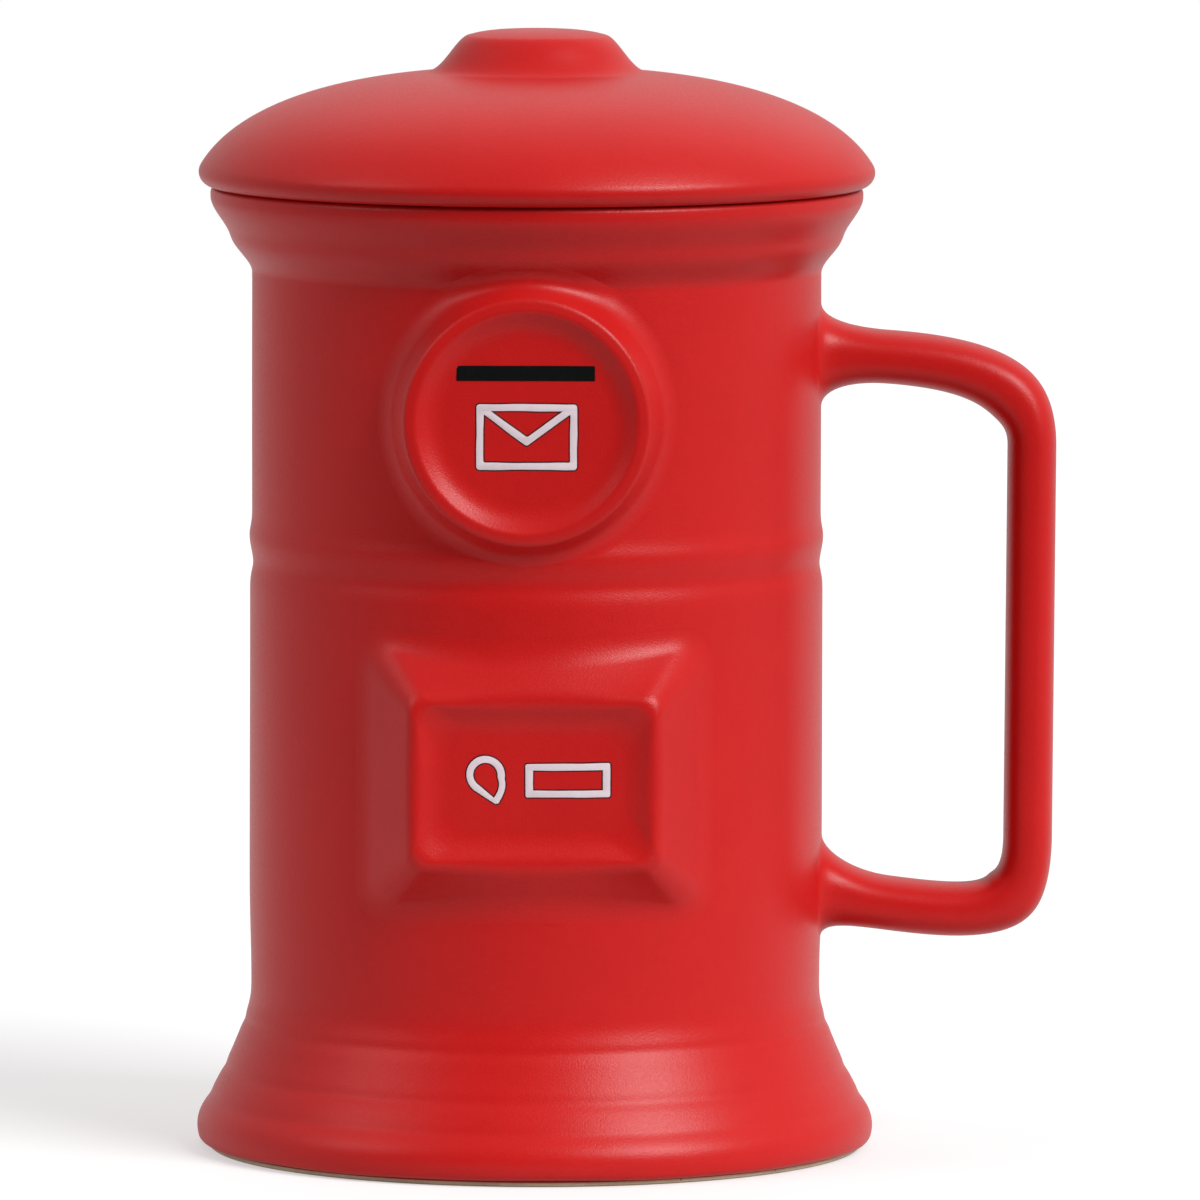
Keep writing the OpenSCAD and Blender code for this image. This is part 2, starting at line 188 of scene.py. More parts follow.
def skin(name: str, rows: np.ndarray, poles: tuple[np.ndarray, np.ndarray] | None) -> bpy.types.Object:
    """Skins closed loops of equal numbers of points into one closed mesh.

    Args:
        name: Name of the new object.
        rows: The loops in millimetres, (loops, points, 3).
        poles: A point that closes each end with a fan, or None where the last loop meets the first.

    Returns:
        The new object.
    """
    count, size = rows.shape[:2]
    points = rows.reshape(-1, 3)
    faces = []
    for k in range(count if poles is None else count - 1):
        a, b = k * size, (k + 1) % count * size
        faces += [(a + i, a + (i + 1) % size, b + (i + 1) % size, b + i) for i in range(size)]
    if poles is not None:
        points = np.vstack([points, *poles])
        first, last, hub = 0, (count - 1) * size, count * size
        faces += [(first + (i + 1) % size, first + i, hub) for i in range(size)]
        faces += [(last + i, last + (i + 1) % size, hub + 1) for i in range(size)]
    return make_object(name, points, faces)


@dataclass(frozen=True)
class Throwing:
    """The slight unevenness of a slip-cast and fired body, in millimetres."""

    oval: float = 0.035
    sway: float = 0.03
    ripple: float = 0.018

    def stray(self, angle: np.ndarray, z: np.ndarray) -> np.ndarray:
        """How far the real surface lies outside the true turning.

        Args:
            angle: Angles round the axis, in radians.
            z: Heights.

        Returns:
            The distances in millimetres.
        """
        return (
            self.oval * np.sin(2 * angle + 0.7)
            + self.sway * np.sin(3 * angle - 1.2 + z / 31)
            + self.ripple * (np.sin(5 * angle + z / 23) + np.sin(2 * angle - z / 9))
        )


def revolve(name: str, profile: np.ndarray, sides: int, throwing: Throwing,
            closed: bool = False) -> bpy.types.Object:
    """Turns a profile round the Z axis.

    Args:
        name: Name of the new object.
        profile: Radius and height of each point. Unless closed, it starts and ends on the axis.
        sides: Points round the turning.
        throwing: The unevenness of the body.
        closed: True where the profile is a closed loop that stays off the axis.

    Returns:
        The new object.
    """
    a = turn(sides)
    inner = profile if closed else profile[1:-1]
    r, z = inner[:, :1], inner[:, 1:]
    r = r + throwing.stray(a[None], z) * smooth(r / 12)
    rows = np.stack([r * np.cos(a), r * np.sin(a), np.broadcast_to(z, r.shape)], axis=-1)
    poles = None if closed else (np.array([0, 0, profile[0, 1]]), np.array([0, 0, profile[-1, 1]]))
    return skin(name, rows, poles)


# ---- Shader node groups ----


class Tree:
    """A short way to place and join the nodes of one node tree."""

    def __init__(self, tree: bpy.types.NodeTree) -> None:
        """Takes the tree to add nodes to."""
        self.tree = tree

    def feed(self, node: bpy.types.Node, inputs: dict[str | int, object]) -> bpy.types.Node:
        """Sets or joins the inputs of a node.

        Args:
            node: The node.
            inputs: Values or output sockets for its inputs, by name or place.

        Returns:
            The same node.
        """
        for key, value in inputs.items():
            if isinstance(value, bpy.types.NodeSocket):
                self.tree.links.new(value, node.inputs[key])
            else:
                node.inputs[key].default_value = value
        return node

    def add(self, kind: str, inputs: dict[str | int, object] | None = None,
            **settings: object) -> bpy.types.Node:
        """Adds a node.

        Args:
            kind: The node's type name, without its ShaderNode prefix.
            inputs: Values or output sockets for its inputs, by name or place.
            **settings: The node's own settings.

        Returns:
            The new node.
        """
        node = self.tree.nodes.new(kind if kind.startswith("Node") else "ShaderNode" + kind)
        for key, value in settings.items():
            setattr(node, key, value)
        return self.feed(node, inputs or {})

    def noise(self, place: Socket, scale: float, detail: float = 2.0, roughness: float = 0.5) -> Socket:
        """The value of a noise at a place, with its middle at 0.5."""
        inputs = {"Vector": place, "Scale": scale, "Detail": detail, "Roughness": roughness}
        return self.add("TexNoise", inputs).outputs["Fac"]

    def math(self, operation: str, *values: Socket | float) -> Socket:
        """The result of a sum on one to three values."""
        return self.add("Math", dict(enumerate(values)), operation=operation).outputs[0]

    def remap(self, value: Socket, low: float, high: float, to_low: float = 0.0, to_high: float = 1.0,
              soft: bool = False) -> Socket:
        """Moves a value from one range to another and keeps it inside that.

        Args:
            value: The value.
            low: Start of the range it comes from.
            high: End of that range.
            to_low: Start of the range it goes to.
            to_high: End of that range.
            soft: True where it eases in and out.

        Returns:
            The moved value.
        """
        inputs = {"Value": value, "From Min": low, "From Max": high, "To Min": to_low, "To Max": to_high}
        kind = "SMOOTHSTEP" if soft else "LINEAR"
        return self.add("MapRange", inputs, interpolation_type=kind).outputs["Result"]

    def mix(self, factor: Socket, a: Socket | Colour, b: Socket | Colour) -> Socket:
        """A colour between a and b."""
        return self.add("Mix", {"Factor": factor, 6: a, 7: b}, data_type="RGBA").outputs[2]


class Effects:
    """The node groups that several finishes share, each built once."""

    COLOURS = ("Colour", "Thin")

    def __init__(self) -> None:
        """Builds every group."""
        self.mottle = self._group("mottle", ("Colour", "Thin", "Patch", "Depth"), ("Colour",), self._mottle)
        self.skin_texture = self._group("skin_texture", ("Peel Size", "Peel", "Grit Size", "Grit"),
                                        ("Height", "Sheen"), self._skin_texture)
        self.specks = self._group("specks", ("Spacing", "Size", "Share"), ("Mask",), self._specks)

    def _group(self, name: str, takes: Sequence[str], gives: Sequence[str],
               fill: Callable[[Tree, Sockets], Sockets]) -> bpy.types.NodeTree:
        """Makes one group. Its sockets hold numbers, apart from the named colours.

        Args:
            name: The group's name.
            takes: Names of its inputs.
            gives: Names of its outputs.
            fill: Places the nodes in a tree, from what the group takes to what it gives.

        Returns:
            The group's tree.
        """
        tree = bpy.data.node_groups.new(name, "ShaderNodeTree")
        for way, labels in (("INPUT", takes), ("OUTPUT", gives)):
            for label in labels:
                kind = "NodeSocketColor" if label in self.COLOURS else "NodeSocketFloat"
                tree.interface.new_socket(label, in_out=way, socket_type=kind)
        nodes = Tree(tree)
        nodes.add("NodeGroupOutput", fill(nodes, nodes.add("NodeGroupInput").outputs))
        return tree

    @staticmethod
    def _place(nodes: Tree, size: Socket) -> Socket:
        """The object's own coordinates in millimetres, divided by a size in millimetres."""
        inputs = {0: nodes.add("TexCoord").outputs["Object"], "Scale": nodes.math("DIVIDE", 1 / MM, size)}
        return nodes.add("VectorMath", inputs, operation="SCALE").outputs[0]

    def _mottle(self, nodes: Tree, own: Sockets) -> Sockets:
        """Soft patches where the colour lies thicker or thinner, with a fine break-up inside them.

        Args:
            nodes: The group's tree.
            own: What the group takes.

        Returns:
            What it gives.
        """
        place = self._place(nodes, own["Patch"])
        wide, fine = nodes.noise(place, 1.0, 3.0, 0.55), nodes.noise(place, 9.0, 2.0, 0.6)
        both = nodes.math("MULTIPLY_ADD", fine, 0.35, nodes.math("MULTIPLY", wide, 0.65))
        part = nodes.math("MULTIPLY", nodes.remap(both, 0.36, 0.64), own["Depth"])
        return {"Colour": nodes.mix(part, own["Colour"], own["Thin"])}

    def _skin_texture(self, nodes: Tree, own: Sockets) -> Sockets:
        """The surface of a fired skin: a soft peel, and the fine grit that sparkles under a light.

        Args:
            nodes: The group's tree.
            own: What the group takes.

        Returns:
            What it gives.
        """
        peel = nodes.noise(self._place(nodes, own["Peel Size"]), 1.0, 1.0, 0.4)
        grit = nodes.noise(self._place(nodes, own["Grit Size"]), 1.0, 2.0, 0.6)
        high = nodes.math("MULTIPLY", peel, own["Peel"])
        height = nodes.math("MULTIPLY_ADD", grit, own["Grit"], high)
        return {"Height": height, "Sheen": nodes.remap(grit, 0.35, 0.65)}

    def _specks(self, nodes: Tree, own: Sockets) -> Sockets:
        """A few round iron specks, each alone in its own cell.

        Args:
            nodes: The group's tree.
            own: What the group takes.

        Returns:
            What it gives.
        """
        inputs = {"Vector": self._place(nodes, own["Spacing"]), "Scale": 1.0, "Randomness": 0.9}
        cells = nodes.add("TexVoronoi", inputs).outputs
        reach = nodes.math("DIVIDE", own["Size"], own["Spacing"])
        spot = nodes.remap(nodes.math("DIVIDE", cells["Distance"], reach), 0.7, 1.0, 1.0, 0.0, soft=True)
        pick = nodes.add("SeparateColor", {0: cells["Color"]}).outputs[0]
        return {"Mask": nodes.math("MULTIPLY", spot, nodes.math("LESS_THAN", pick, own["Share"]))}


# ---- Finishes ----


def new_material(name: str) -> tuple[bpy.types.Material, Tree, bpy.types.Node]:
    """Makes an empty material with a Principled shader.

    Args:
        name: The material's name.

    Returns:
        The material, its tree and its shader.
    """
    material = bpy.data.materials.new(name)
    material.use_nodes = True
    material.node_tree.nodes.clear()
    nodes = Tree(material.node_tree)
    shader = nodes.add("BsdfPrincipled")
    nodes.add("OutputMaterial", {"Surface": shader.outputs["BSDF"]})
    return material, nodes, shader


@dataclass(frozen=True)
class Specks:
    """Iron specks: their spacing and size in millimetres, and the share of places that holds one."""

    colour: Colour
    spacing: float
    size: float
    share: float

    def over(self, nodes: Tree, effects: Effects, colour: Socket) -> Socket:
        """Lays the specks over a colour.

        Args:
            nodes: The material's tree.
            effects: The shared node groups.
            colour: The colour.

        Returns:
            The speckled colour.
        """
        inputs = {"Spacing": self.spacing, "Size": self.size, "Share": self.share}
        group = nodes.add("Group", inputs, node_tree=effects.specks)
        return nodes.mix(group.outputs["Mask"], colour, self.colour)


@dataclass(frozen=True)
class Finish:
    """What every fired surface shares: a mottled colour, and a skin with its peel, grit and gloss."""

    name: str
    colour: Colour
    thin: Colour
    patch: float = 13.0
    depth: float = 0.55
    peel_size: float = 1.6
    peel: float = 0.006
    grit_size: float = 0.26
    grit: float = 0.032
    roughness: tuple[float, float] = (0.31, 0.39)
    specular: float = 0.22

    def tint(self, nodes: Tree, effects: Effects, colour: Socket) -> Socket:
        """The mottled colour, with what a finish adds to it."""
        return colour

    def build(self, effects: Effects) -> bpy.types.Material:
        """Makes the material.

        Args:
            effects: The shared node groups.

        Returns:
            The finished material.
        """
        material, nodes, shader = new_material(self.name)
        mottle = {"Colour": self.colour, "Thin": self.thin, "Patch": self.patch, "Depth": self.depth}
        skin_texture = {"Peel Size": self.peel_size, "Peel": self.peel,
                        "Grit Size": self.grit_size, "Grit": self.grit}
        patches = nodes.add("Group", mottle, node_tree=effects.mottle).outputs["Colour"]
        texture = nodes.add("Group", skin_texture, node_tree=effects.skin_texture).outputs
        bump = nodes.add("Bump", {"Height": texture["Height"], "Distance": MM, "Strength": 1.0})
        nodes.feed(shader, {
            "Base Color": self.tint(nodes, effects, patches),
            "Roughness": nodes.remap(texture["Sheen"], 0.0, 1.0, *self.roughness),
            "Normal": bump.outputs["Normal"],
            "Specular IOR Level": self.specular,
        })
        return material


@dataclass(frozen=True)
class FiredGlaze(Finish):
    """A matt coloured glaze over stoneware."""

    name: str = "matt_red_glaze"
    colour: Colour = (0.475, 0.0082, 0.0076, 1)
    thin: Colour = (0.52, 0.0105, 0.0095, 1)
    specks: Specks = Specks((0.035, 0.006, 0.005, 1), 9.0, 0.24, 0.22)

    def tint(self, nodes: Tree, effects: Effects, colour: Socket) -> Socket:
        """The mottled red with its specks."""
        return self.specks.over(nodes, effects, colour)


@dataclass(frozen=True)
class BareClay(Finish):
    """Unglazed buff stoneware, darkened at its base by painted contact shadow and stained where the glaze
    stops.
    """

    name: str = "bare_buff_clay"
    colour: Colour = (0.60, 0.49, 0.34, 1)
    # thin is the darker clay of the random patches, and also the painted contact shadow along the bottom of
    # the foot.
    thin: Colour = (0.20, 0.11, 0.055, 1)
    patch: float = 5.0
    depth: float = 0.3
    peel_size: float = 0.9
    peel: float = 0.02
    grit_size: float = 0.2
    grit: float = 0.03
    roughness: tuple[float, float] = (0.78, 0.92)
    specular: float = 0.5
    stained: Colour = (0.33, 0.02, 0.014, 1)
    specks: Specks = Specks((0.08, 0.05, 0.03, 1), 1.6, 0.16, 0.35)
    glaze_z: float = 0.8

    def tint(self, nodes: Tree, effects: Effects, colour: Socket) -> Socket:
        """Lays a painted contact shadow along the bottom of the foot, the stained edge and the specks over
        the clay.

        Args:
            nodes: The material's tree.
            effects: The shared node groups.
            colour: The mottled clay.

        Returns:
            The whole colour.
        """
        height = nodes.add("SeparateXYZ", {0: nodes.add("TexCoord").outputs["Object"]}).outputs["Z"]
        rise = nodes.remap(height, 0.0, self.glaze_z * MM)
        # Painted contact shadow: the clay darkens towards the bottom, where the foot meets the table.
        painted_contact_shade = nodes.remap(rise, 0.0, 0.32, 1.0, 0.0, soft=True)
        colour = nodes.mix(nodes.math("MULTIPLY", painted_contact_shade, 0.85), colour, self.thin)
        colour = nodes.mix(nodes.remap(rise, 0.6, 0.8, soft=True), colour, self.stained)
        return self.specks.over(nodes, effects, colour)


@dataclass(frozen=True)
class FiredPrint(Finish):
    """A printed colour fired into the glaze, darker along its sloping edge."""

    patch: float = 1.3
    depth: float = 0.6
    peel_size: float = 0.8
    peel: float = 0.004
    grit_size: float = 0.2
    grit: float = 0.003
    roughness: tuple[float, float] = (0.3, 0.42)
    edge: Colour = (0.06, 0.004, 0.006, 1)

    def tint(self, nodes: Tree, effects: Effects, colour: Socket) -> Socket:
        """The ink with its dark edge."""
        rim = nodes.add("Attribute", attribute_name=Print.EDGE).outputs["Fac"]
        return nodes.mix(nodes.remap(rim, 0.02, 0.22, soft=True), colour, self.edge)


# ---- Fitting pieces to the frame ----


@dataclass(frozen=True)
class Datum:
    """The heights and radii that every piece is set out from, read from the frame."""

    clay_z: float
    rim_z: float
    foot_reach: float
    knob_z: float
    flange_z: float

    @classmethod
    def read(cls) -> "Datum":
        """Reads the frame's boxes.

        Returns:
            The heights and radii in millimetres.
        """
        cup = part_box("mug_body")
        return cls(
            clay_z=cup[0].z / MM,
            rim_z=cup[1].z / MM,
            foot_reach=cup[1].x / MM,
            knob_z=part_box("lid_knob")[1].z / MM,
            flange_z=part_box("lid_flange")[0].z / MM,
        )


def install(piece: bpy.types.Object, node: str, body: Body,
            material: bpy.types.Material) -> None:
    """Dresses a piece, sets it riding on its body and hides the CAD node that it stands in for.

    Args:
        piece: The piece to install.
        node: The CAD node that it replaces.
        body: The body it rides on.
        material: Its finish.
    """
    piece.data.materials.append(material)
    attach(piece, body.value)
    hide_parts(node)
    LOG.info("%s: %d faces, on %s, for %s", piece.name, len(piece.data.polygons), body.value, node)


# ---- Cup ----


@dataclass(frozen=True)
class Cup:
    """The turned body of the mug: a flared foot with soft rings, a waist line and a stepped rim."""

    datum: Datum
    throwing: Throwing = Throwing()
    sides: int = 288
    wall_r: float = 38.2
    wall_t: float = 3.7
    lower_fill: float = 0.3
    fill_h: float = 16.0
    floor_z: float = 6.2
    floor_fillet: float = 5.0
    flare_h: float = 20.2
    flare_blend: float = 1.4
    lip_z: float = 2.85
    lip_face_r: float = 4.7
    lip_edge_r: float = 1.1
    lip_lean: float = 31.0
    lip_turn: float = -15.0
    ring_heights: tuple[float, ...] = (17.0, 10.7, 6.8)
    ring_width: float = 0.8
    ring_depth: float = 0.15
    waist_drop: float = 50.6
    groove_depth: float = 0.42
    bead_out: float = 0.36
    bead_rise: float = 3.6
    bead_width: float = 1.65
    rim_step_low: float = 2.9
    rim_step_top: float = 2.7
    rim_low_drop: float = 11.6
    rim_top_drop: float = 7.2
    rim_low_h: float = 5.2
    rim_top_h: float = 5.85
    rim_t: float = 3.9
    rim_round: float = 0.9
    inner_flare_h: float = 12.6
    clay_setback: float = 0.4
    clay_w: float = 4.4
    clay_top: float = 0.5
    under_recess: float = 1.6
    glaze_wave: float = 0.11
    glaze_waves: tuple[tuple[float, int, float], ...] = ((1.0, 3, 0.4), (0.6, 7, 0.0), (0.4, 13, 2.0))
    flare_slack: float = 0.4
    fine_step: float = 0.3
    flare_step: float = 0.35
    wall_step: float = 3.0
    inner_step: float = 0.8

    @property
    def foot_r(self) -> float:
        """Radius of the foot at its widest."""
        return self.datum.foot_reach

    @property
    def rim_r(self) -> float:
        """Outer radius of the rim."""
        return self.wall_r + self.rim_step_low + self.rim_step_top

    @property
    def mouth_r(self) -> float:
        """Inner radius of the rim."""
        return self.rim_r - self.rim_t

    @property
    def waist_z(self) -> float:
        """Height of the groove round the waist."""
        return self.datum.rim_z - self.waist_drop

    @property
    def lip_r0(self) -> float:
        """Radius of the centre of the foot's rounded face."""
        return self.foot_r - self.lip_face_r

    @property
    def lip_low(self) -> tuple[float, float]:
        """Centre of the small round at the foot's lower edge, before it drops to the clay."""
        a, r = math.radians(self.lip_turn), self.lip_face_r - self.lip_edge_r
        return self.lip_r0 + r * math.cos(a), self.lip_z + r * math.sin(a)

    @property
    def clay_r(self) -> float:
        """Outer radius of the bare clay ring under the foot."""
        return self.lip_low[0] - self.clay_setback

    def flare(self, z: np.ndarray) -> np.ndarray:
        """How far the foot stands out from the wall, a curve that meets the rounded face at its lean.

        Args:
            z: Heights.

        Returns:
            The distances.
        """
        lean = math.radians(self.lip_lean)
        start_r = self.lip_r0 + self.lip_face_r * math.cos(lean)
        run = self.flare_h - (self.lip_z + self.lip_face_r * math.sin(lean))
        curl = (math.tan(lean) * run - (start_r - self.wall_r)) / run**2
        slope = math.tan(lean) - 2 * curl * run
        below = self.flare_h - z
        t = (below + np.hypot(below, self.flare_blend)) / 2
        return slope * t + curl * np.maximum(below, 0) ** 2

    def fill(self, z: np.ndarray) -> np.ndarray:
        """How much fuller the lower wall is than the upper one."""
        low = smooth((z - self.flare_h) / self.fill_h)
        return self.lower_fill * low * (1 - smooth((z - self.waist_z) / self.bead_rise))

    def outside(self, z: np.ndarray) -> np.ndarray:
        """The true outside.

        Args:
            z: Heights.

        Returns:
            The radius at each height.
        """
        rings = sum(bell(z, h, self.ring_width) for h in self.ring_heights)
        waist = self.bead_out * bell(z, self.waist_z + self.bead_rise, self.bead_width)
        waist -= self.groove_depth * bell(z, self.waist_z, self.bead_width)
        rim = self.rim_step_low * smooth((z - self.datum.rim_z + self.rim_low_drop) / self.rim_low_h)
        rim += self.rim_step_top * smooth((z - self.datum.rim_z + self.rim_top_drop) / self.rim_top_h)
        return self.wall_r + self.flare(z) - self.ring_depth * rings + waist + self.fill(z) + rim

    def inside(self, z: np.ndarray) -> np.ndarray:
        """The inside.

        Args:
            z: Heights.

        Returns:
            The radius at each height.
        """
        wall = self.wall_r - self.wall_t
        up = (z - self.datum.rim_z + self.inner_flare_h) / self.inner_flare_h
        foot = np.maximum(self.flare(z) - self.flare_slack, 0)
        return wall + (self.mouth_r - wall) * smooth(up) + foot + self.fill(z)

    def front(self, x: np.ndarray, z: np.ndarray, depth: float = 0.0) -> np.ndarray:
        """Points on the front of the real, slightly uneven outside.

        Args:
            x: Sideways places.
            z: Heights.
            depth: How far under the surface they lie.

        Returns:
            The points, (count, 3).
        """
        true = self.outside(z)
        angle = -np.arccos(np.clip(x / true, -1, 1))
        r = true + self.throwing.stray(angle, z) - depth
        return np.column_stack([x, -np.sqrt(r * r - x * x), z])

    def side(self, y: np.ndarray, z: np.ndarray, depth: float = 0.0) -> np.ndarray:
        """Points on the handle's side of the real outside.

        Args:
            y: Places from front to back.
            z: Heights.
            depth: How far under the surface they lie.

        Returns:
            The points, (count, 3).
        """
        true = self.outside(z)
        angle = np.arcsin(np.clip(y / true, -1, 1))
        r = true + self.throwing.stray(angle, z) - depth
        return np.column_stack([np.sqrt(r * r - y * y), y, z])

    def profile(self) -> np.ndarray:
        """The whole closed section, from the middle of the underside, up the outside and down the inside.

        Returns:
            Radius and height of each point.
        """
        clay_z, rim_z = self.datum.clay_z, self.datum.rim_z
        low_r, low_z = self.lip_low
        lean = math.radians(self.lip_lean)
        lip_top = self.lip_z + self.lip_face_r * math.sin(lean)
        waist = self.waist_z
        heights = np.concatenate([
            np.arange(lip_top + self.flare_step, self.flare_h + 1, self.flare_step),
            np.arange(self.flare_h + 2, waist - 5, self.wall_step),
            np.arange(waist - 4.6, waist + 9, self.fine_step),
            np.arange(waist + 11, rim_z - self.rim_low_drop - 1, self.wall_step),
            np.arange(rim_z - self.rim_low_drop - 0.7, rim_z - self.rim_round - 0.1, self.fine_step),
        ])
        inner_low = self.floor_z + self.floor_fillet
        inner = np.concatenate([
            np.arange(rim_z - self.rim_round - 0.4, rim_z - self.inner_flare_h, -self.inner_step),
            np.arange(rim_z - self.inner_flare_h - 2, self.flare_h + 1, -5.0),
            np.arange(self.flare_h, inner_low + 0.4, -self.inner_step),
        ])
        under_z = clay_z + self.under_recess
        inner_clay = self.clay_r - self.clay_w
        corner = self.inside(np.array([inner_low]))[0] - self.floor_fillet
        return np.vstack([
            [[0, under_z], [20, under_z], [inner_clay - 3, under_z]],
            arc(inner_clay - 1.9, under_z - 1.2, 1.2, 90, 20, 5),
            [[inner_clay - 0.4, clay_z + 0.05], [inner_clay, clay_z], [self.clay_r - 0.6, clay_z]],
            arc(low_r, clay_z + self.lip_edge_r, self.lip_edge_r, -90, self.lip_turn, 8),
            arc(self.lip_r0, self.lip_z, self.lip_face_r, self.lip_turn + 3, self.lip_lean, 16),
            np.column_stack([self.outside(heights), heights]),
            arc(self.rim_r - self.rim_round, rim_z - self.rim_round, self.rim_round, 0, 90, 8),
            arc(self.mouth_r + self.rim_round, rim_z - self.rim_round, self.rim_round, 90, 180, 8),
            np.column_stack([self.inside(inner), inner]),
            arc(corner, inner_low, self.floor_fillet, -5, -90, 12),
            [[corner - 8, self.floor_z], [10, self.floor_z], [0, self.floor_z]],
        ])

    def build(self, glaze: bpy.types.Material) -> None:
        """Makes the body, with a slightly wavy lower edge where the glaze was wiped off its foot.

        Args:
            glaze: Its finish.
        """
        piece = revolve("cup", self.profile(), self.sides, self.throwing)
        for v in piece.data.vertices:
            x, y, z = (c / MM for c in v.co)
            if z < self.lip_z and math.hypot(x, y) > self.clay_r - 1:
                angle = math.atan2(y, x)
                wave = sum(high * math.sin(count * angle + start) for high, count, start in self.glaze_waves)
                v.co.z += self.glaze_wave * wave * (1 - z / self.lip_z) * MM
        install(piece, "mug_body", Body.MUG, glaze)

    def build_foot(self, clay: bpy.types.Material) -> None:
        """Makes the bare clay ring that the mug stands on.

        Args:
            clay: Its finish.
        """
        out_r, in_r, up = self.clay_r, self.clay_r - self.clay_w, self.datum.clay_z + self.clay_top
        edge = 0.3
        ring = np.vstack([
            arc(out_r - edge, edge, edge, -90, 0, 4),
            [[out_r, up], [(out_r + in_r) / 2, up], [in_r + 0.2, up]],
            arc(in_r + edge, edge, edge, 180, 270, 4),
            [[(out_r + in_r) / 2, 0]],
        ])
        piece = revolve("foot_ring_clay", ring, self.sides, self.throwing, closed=True)
        install(piece, "foot_ring", Body.MUG, clay)


# ---- Reliefs on the front ----


@dataclass(frozen=True)
class Relief:
    """What the raised parts of the front share: a crest, a sunk field and a skirt flowing into the wall."""

    cup: Cup
    proud: float
    recess: float = 1.4
    sink: float = 0.06
    bury: float = 1.6
    fillet: float = 2.2
    flat_share: float = 1.03
    end_out: float = 0.45

    @property
    def skirt(self) -> tuple[float, float, float]:
        """How far out the foot of the relief, the flat past its fillet and its end lie."""
        return 0.0, self.flat_share * self.fillet, self.fillet + self.end_out

    @property
    def crest_y(self) -> float:
        """Place of the crest plane."""
        return -(self.cup.wall_r + self.proud)

    @property
    def field_y(self) -> float:
        """Place of the sunk field."""
        return self.crest_y + self.recess

    @staticmethod
    def flat(outline: np.ndarray, y: float) -> np.ndarray:
        """An outline of x and z laid on an upright plane."""
        return np.column_stack([outline[:, 0], np.full(len(outline), y), outline[:, 1]])

    def close(self, name: str, rows: np.ndarray, outside: np.ndarray,
              middle: tuple[float, float]) -> bpy.types.Object:
        """Closes a relief: the skirt's end dips just under the wall, turns in and meets behind the field.

        Args:
            name: Name of the piece.
            rows: Loops from the field to the skirt's end.
            outside: The outline of that end, as x and z.
            middle: The field's centre, as x and z.

        Returns:
            The closed piece.
        """
        dip = self.cup.front(outside[:, 0], outside[:, 1], self.sink)
        back = self.cup.front(outside[:, 0], outside[:, 1], self.bury)
        hub = self.cup.front(np.array([middle[0]]), np.array([middle[1]]), self.bury)[0]
        front = np.array([middle[0], self.field_y, middle[1]])
        return skin(name, np.concatenate([rows, dip[None], back[None]]), (front, hub))


@dataclass(frozen=True)
class Medallion(Relief):
    """The round sign near the top: a narrow rolled ring round a sunk disc."""

    proud: float = 3.2
    sides: int = 288
    drop: float = 28.6
    x: float = -1.1
    flat_r: float = 9.0
    field_r: float = 12.3
    ring_in: float = 14.75
    ring_out: float = 16.25
    ring_fall: float = 0.22
    foot_r: float = 18.3
    foot_drift: float = 0.25
    rounds: tuple[float, ...] = (1.7, 0.45, 0.5)

    @property
    def z(self) -> float:
        """Height of the centre."""
        return self.cup.datum.rim_z - self.drop

    def circle(self, r: np.ndarray | float) -> np.ndarray:
        """A circle round the centre, as x and z."""
        a = turn(self.sides)
        return np.column_stack([self.x + r * np.cos(a), self.z + r * np.sin(a)])

    def build(self, glaze: bpy.types.Material) -> None:
        """Makes the medallion.

        Args:
            glaze: Its finish.
        """
        foot_r = self.foot_r + self.foot_drift * np.sin(turn(self.sides))
        foot, flat, end = (self.circle(foot_r + more) for more in self.skirt)
        rows = round_corners(
            [
                self.flat(self.circle(self.flat_r), self.field_y),
                self.flat(self.circle(self.field_r), self.field_y),
                self.flat(self.circle(self.ring_in), self.crest_y),
                self.flat(self.circle(self.ring_out), self.crest_y + self.ring_fall),
                self.cup.front(foot[:, 0], foot[:, 1]),
                self.cup.front(flat[:, 0], flat[:, 1]),
            ],
            (*self.rounds, self.fillet),
        )
        piece = self.close("medallion_ring", rows, end, (self.x, self.z))
        install(piece, "medallion", Body.MUG, glaze)


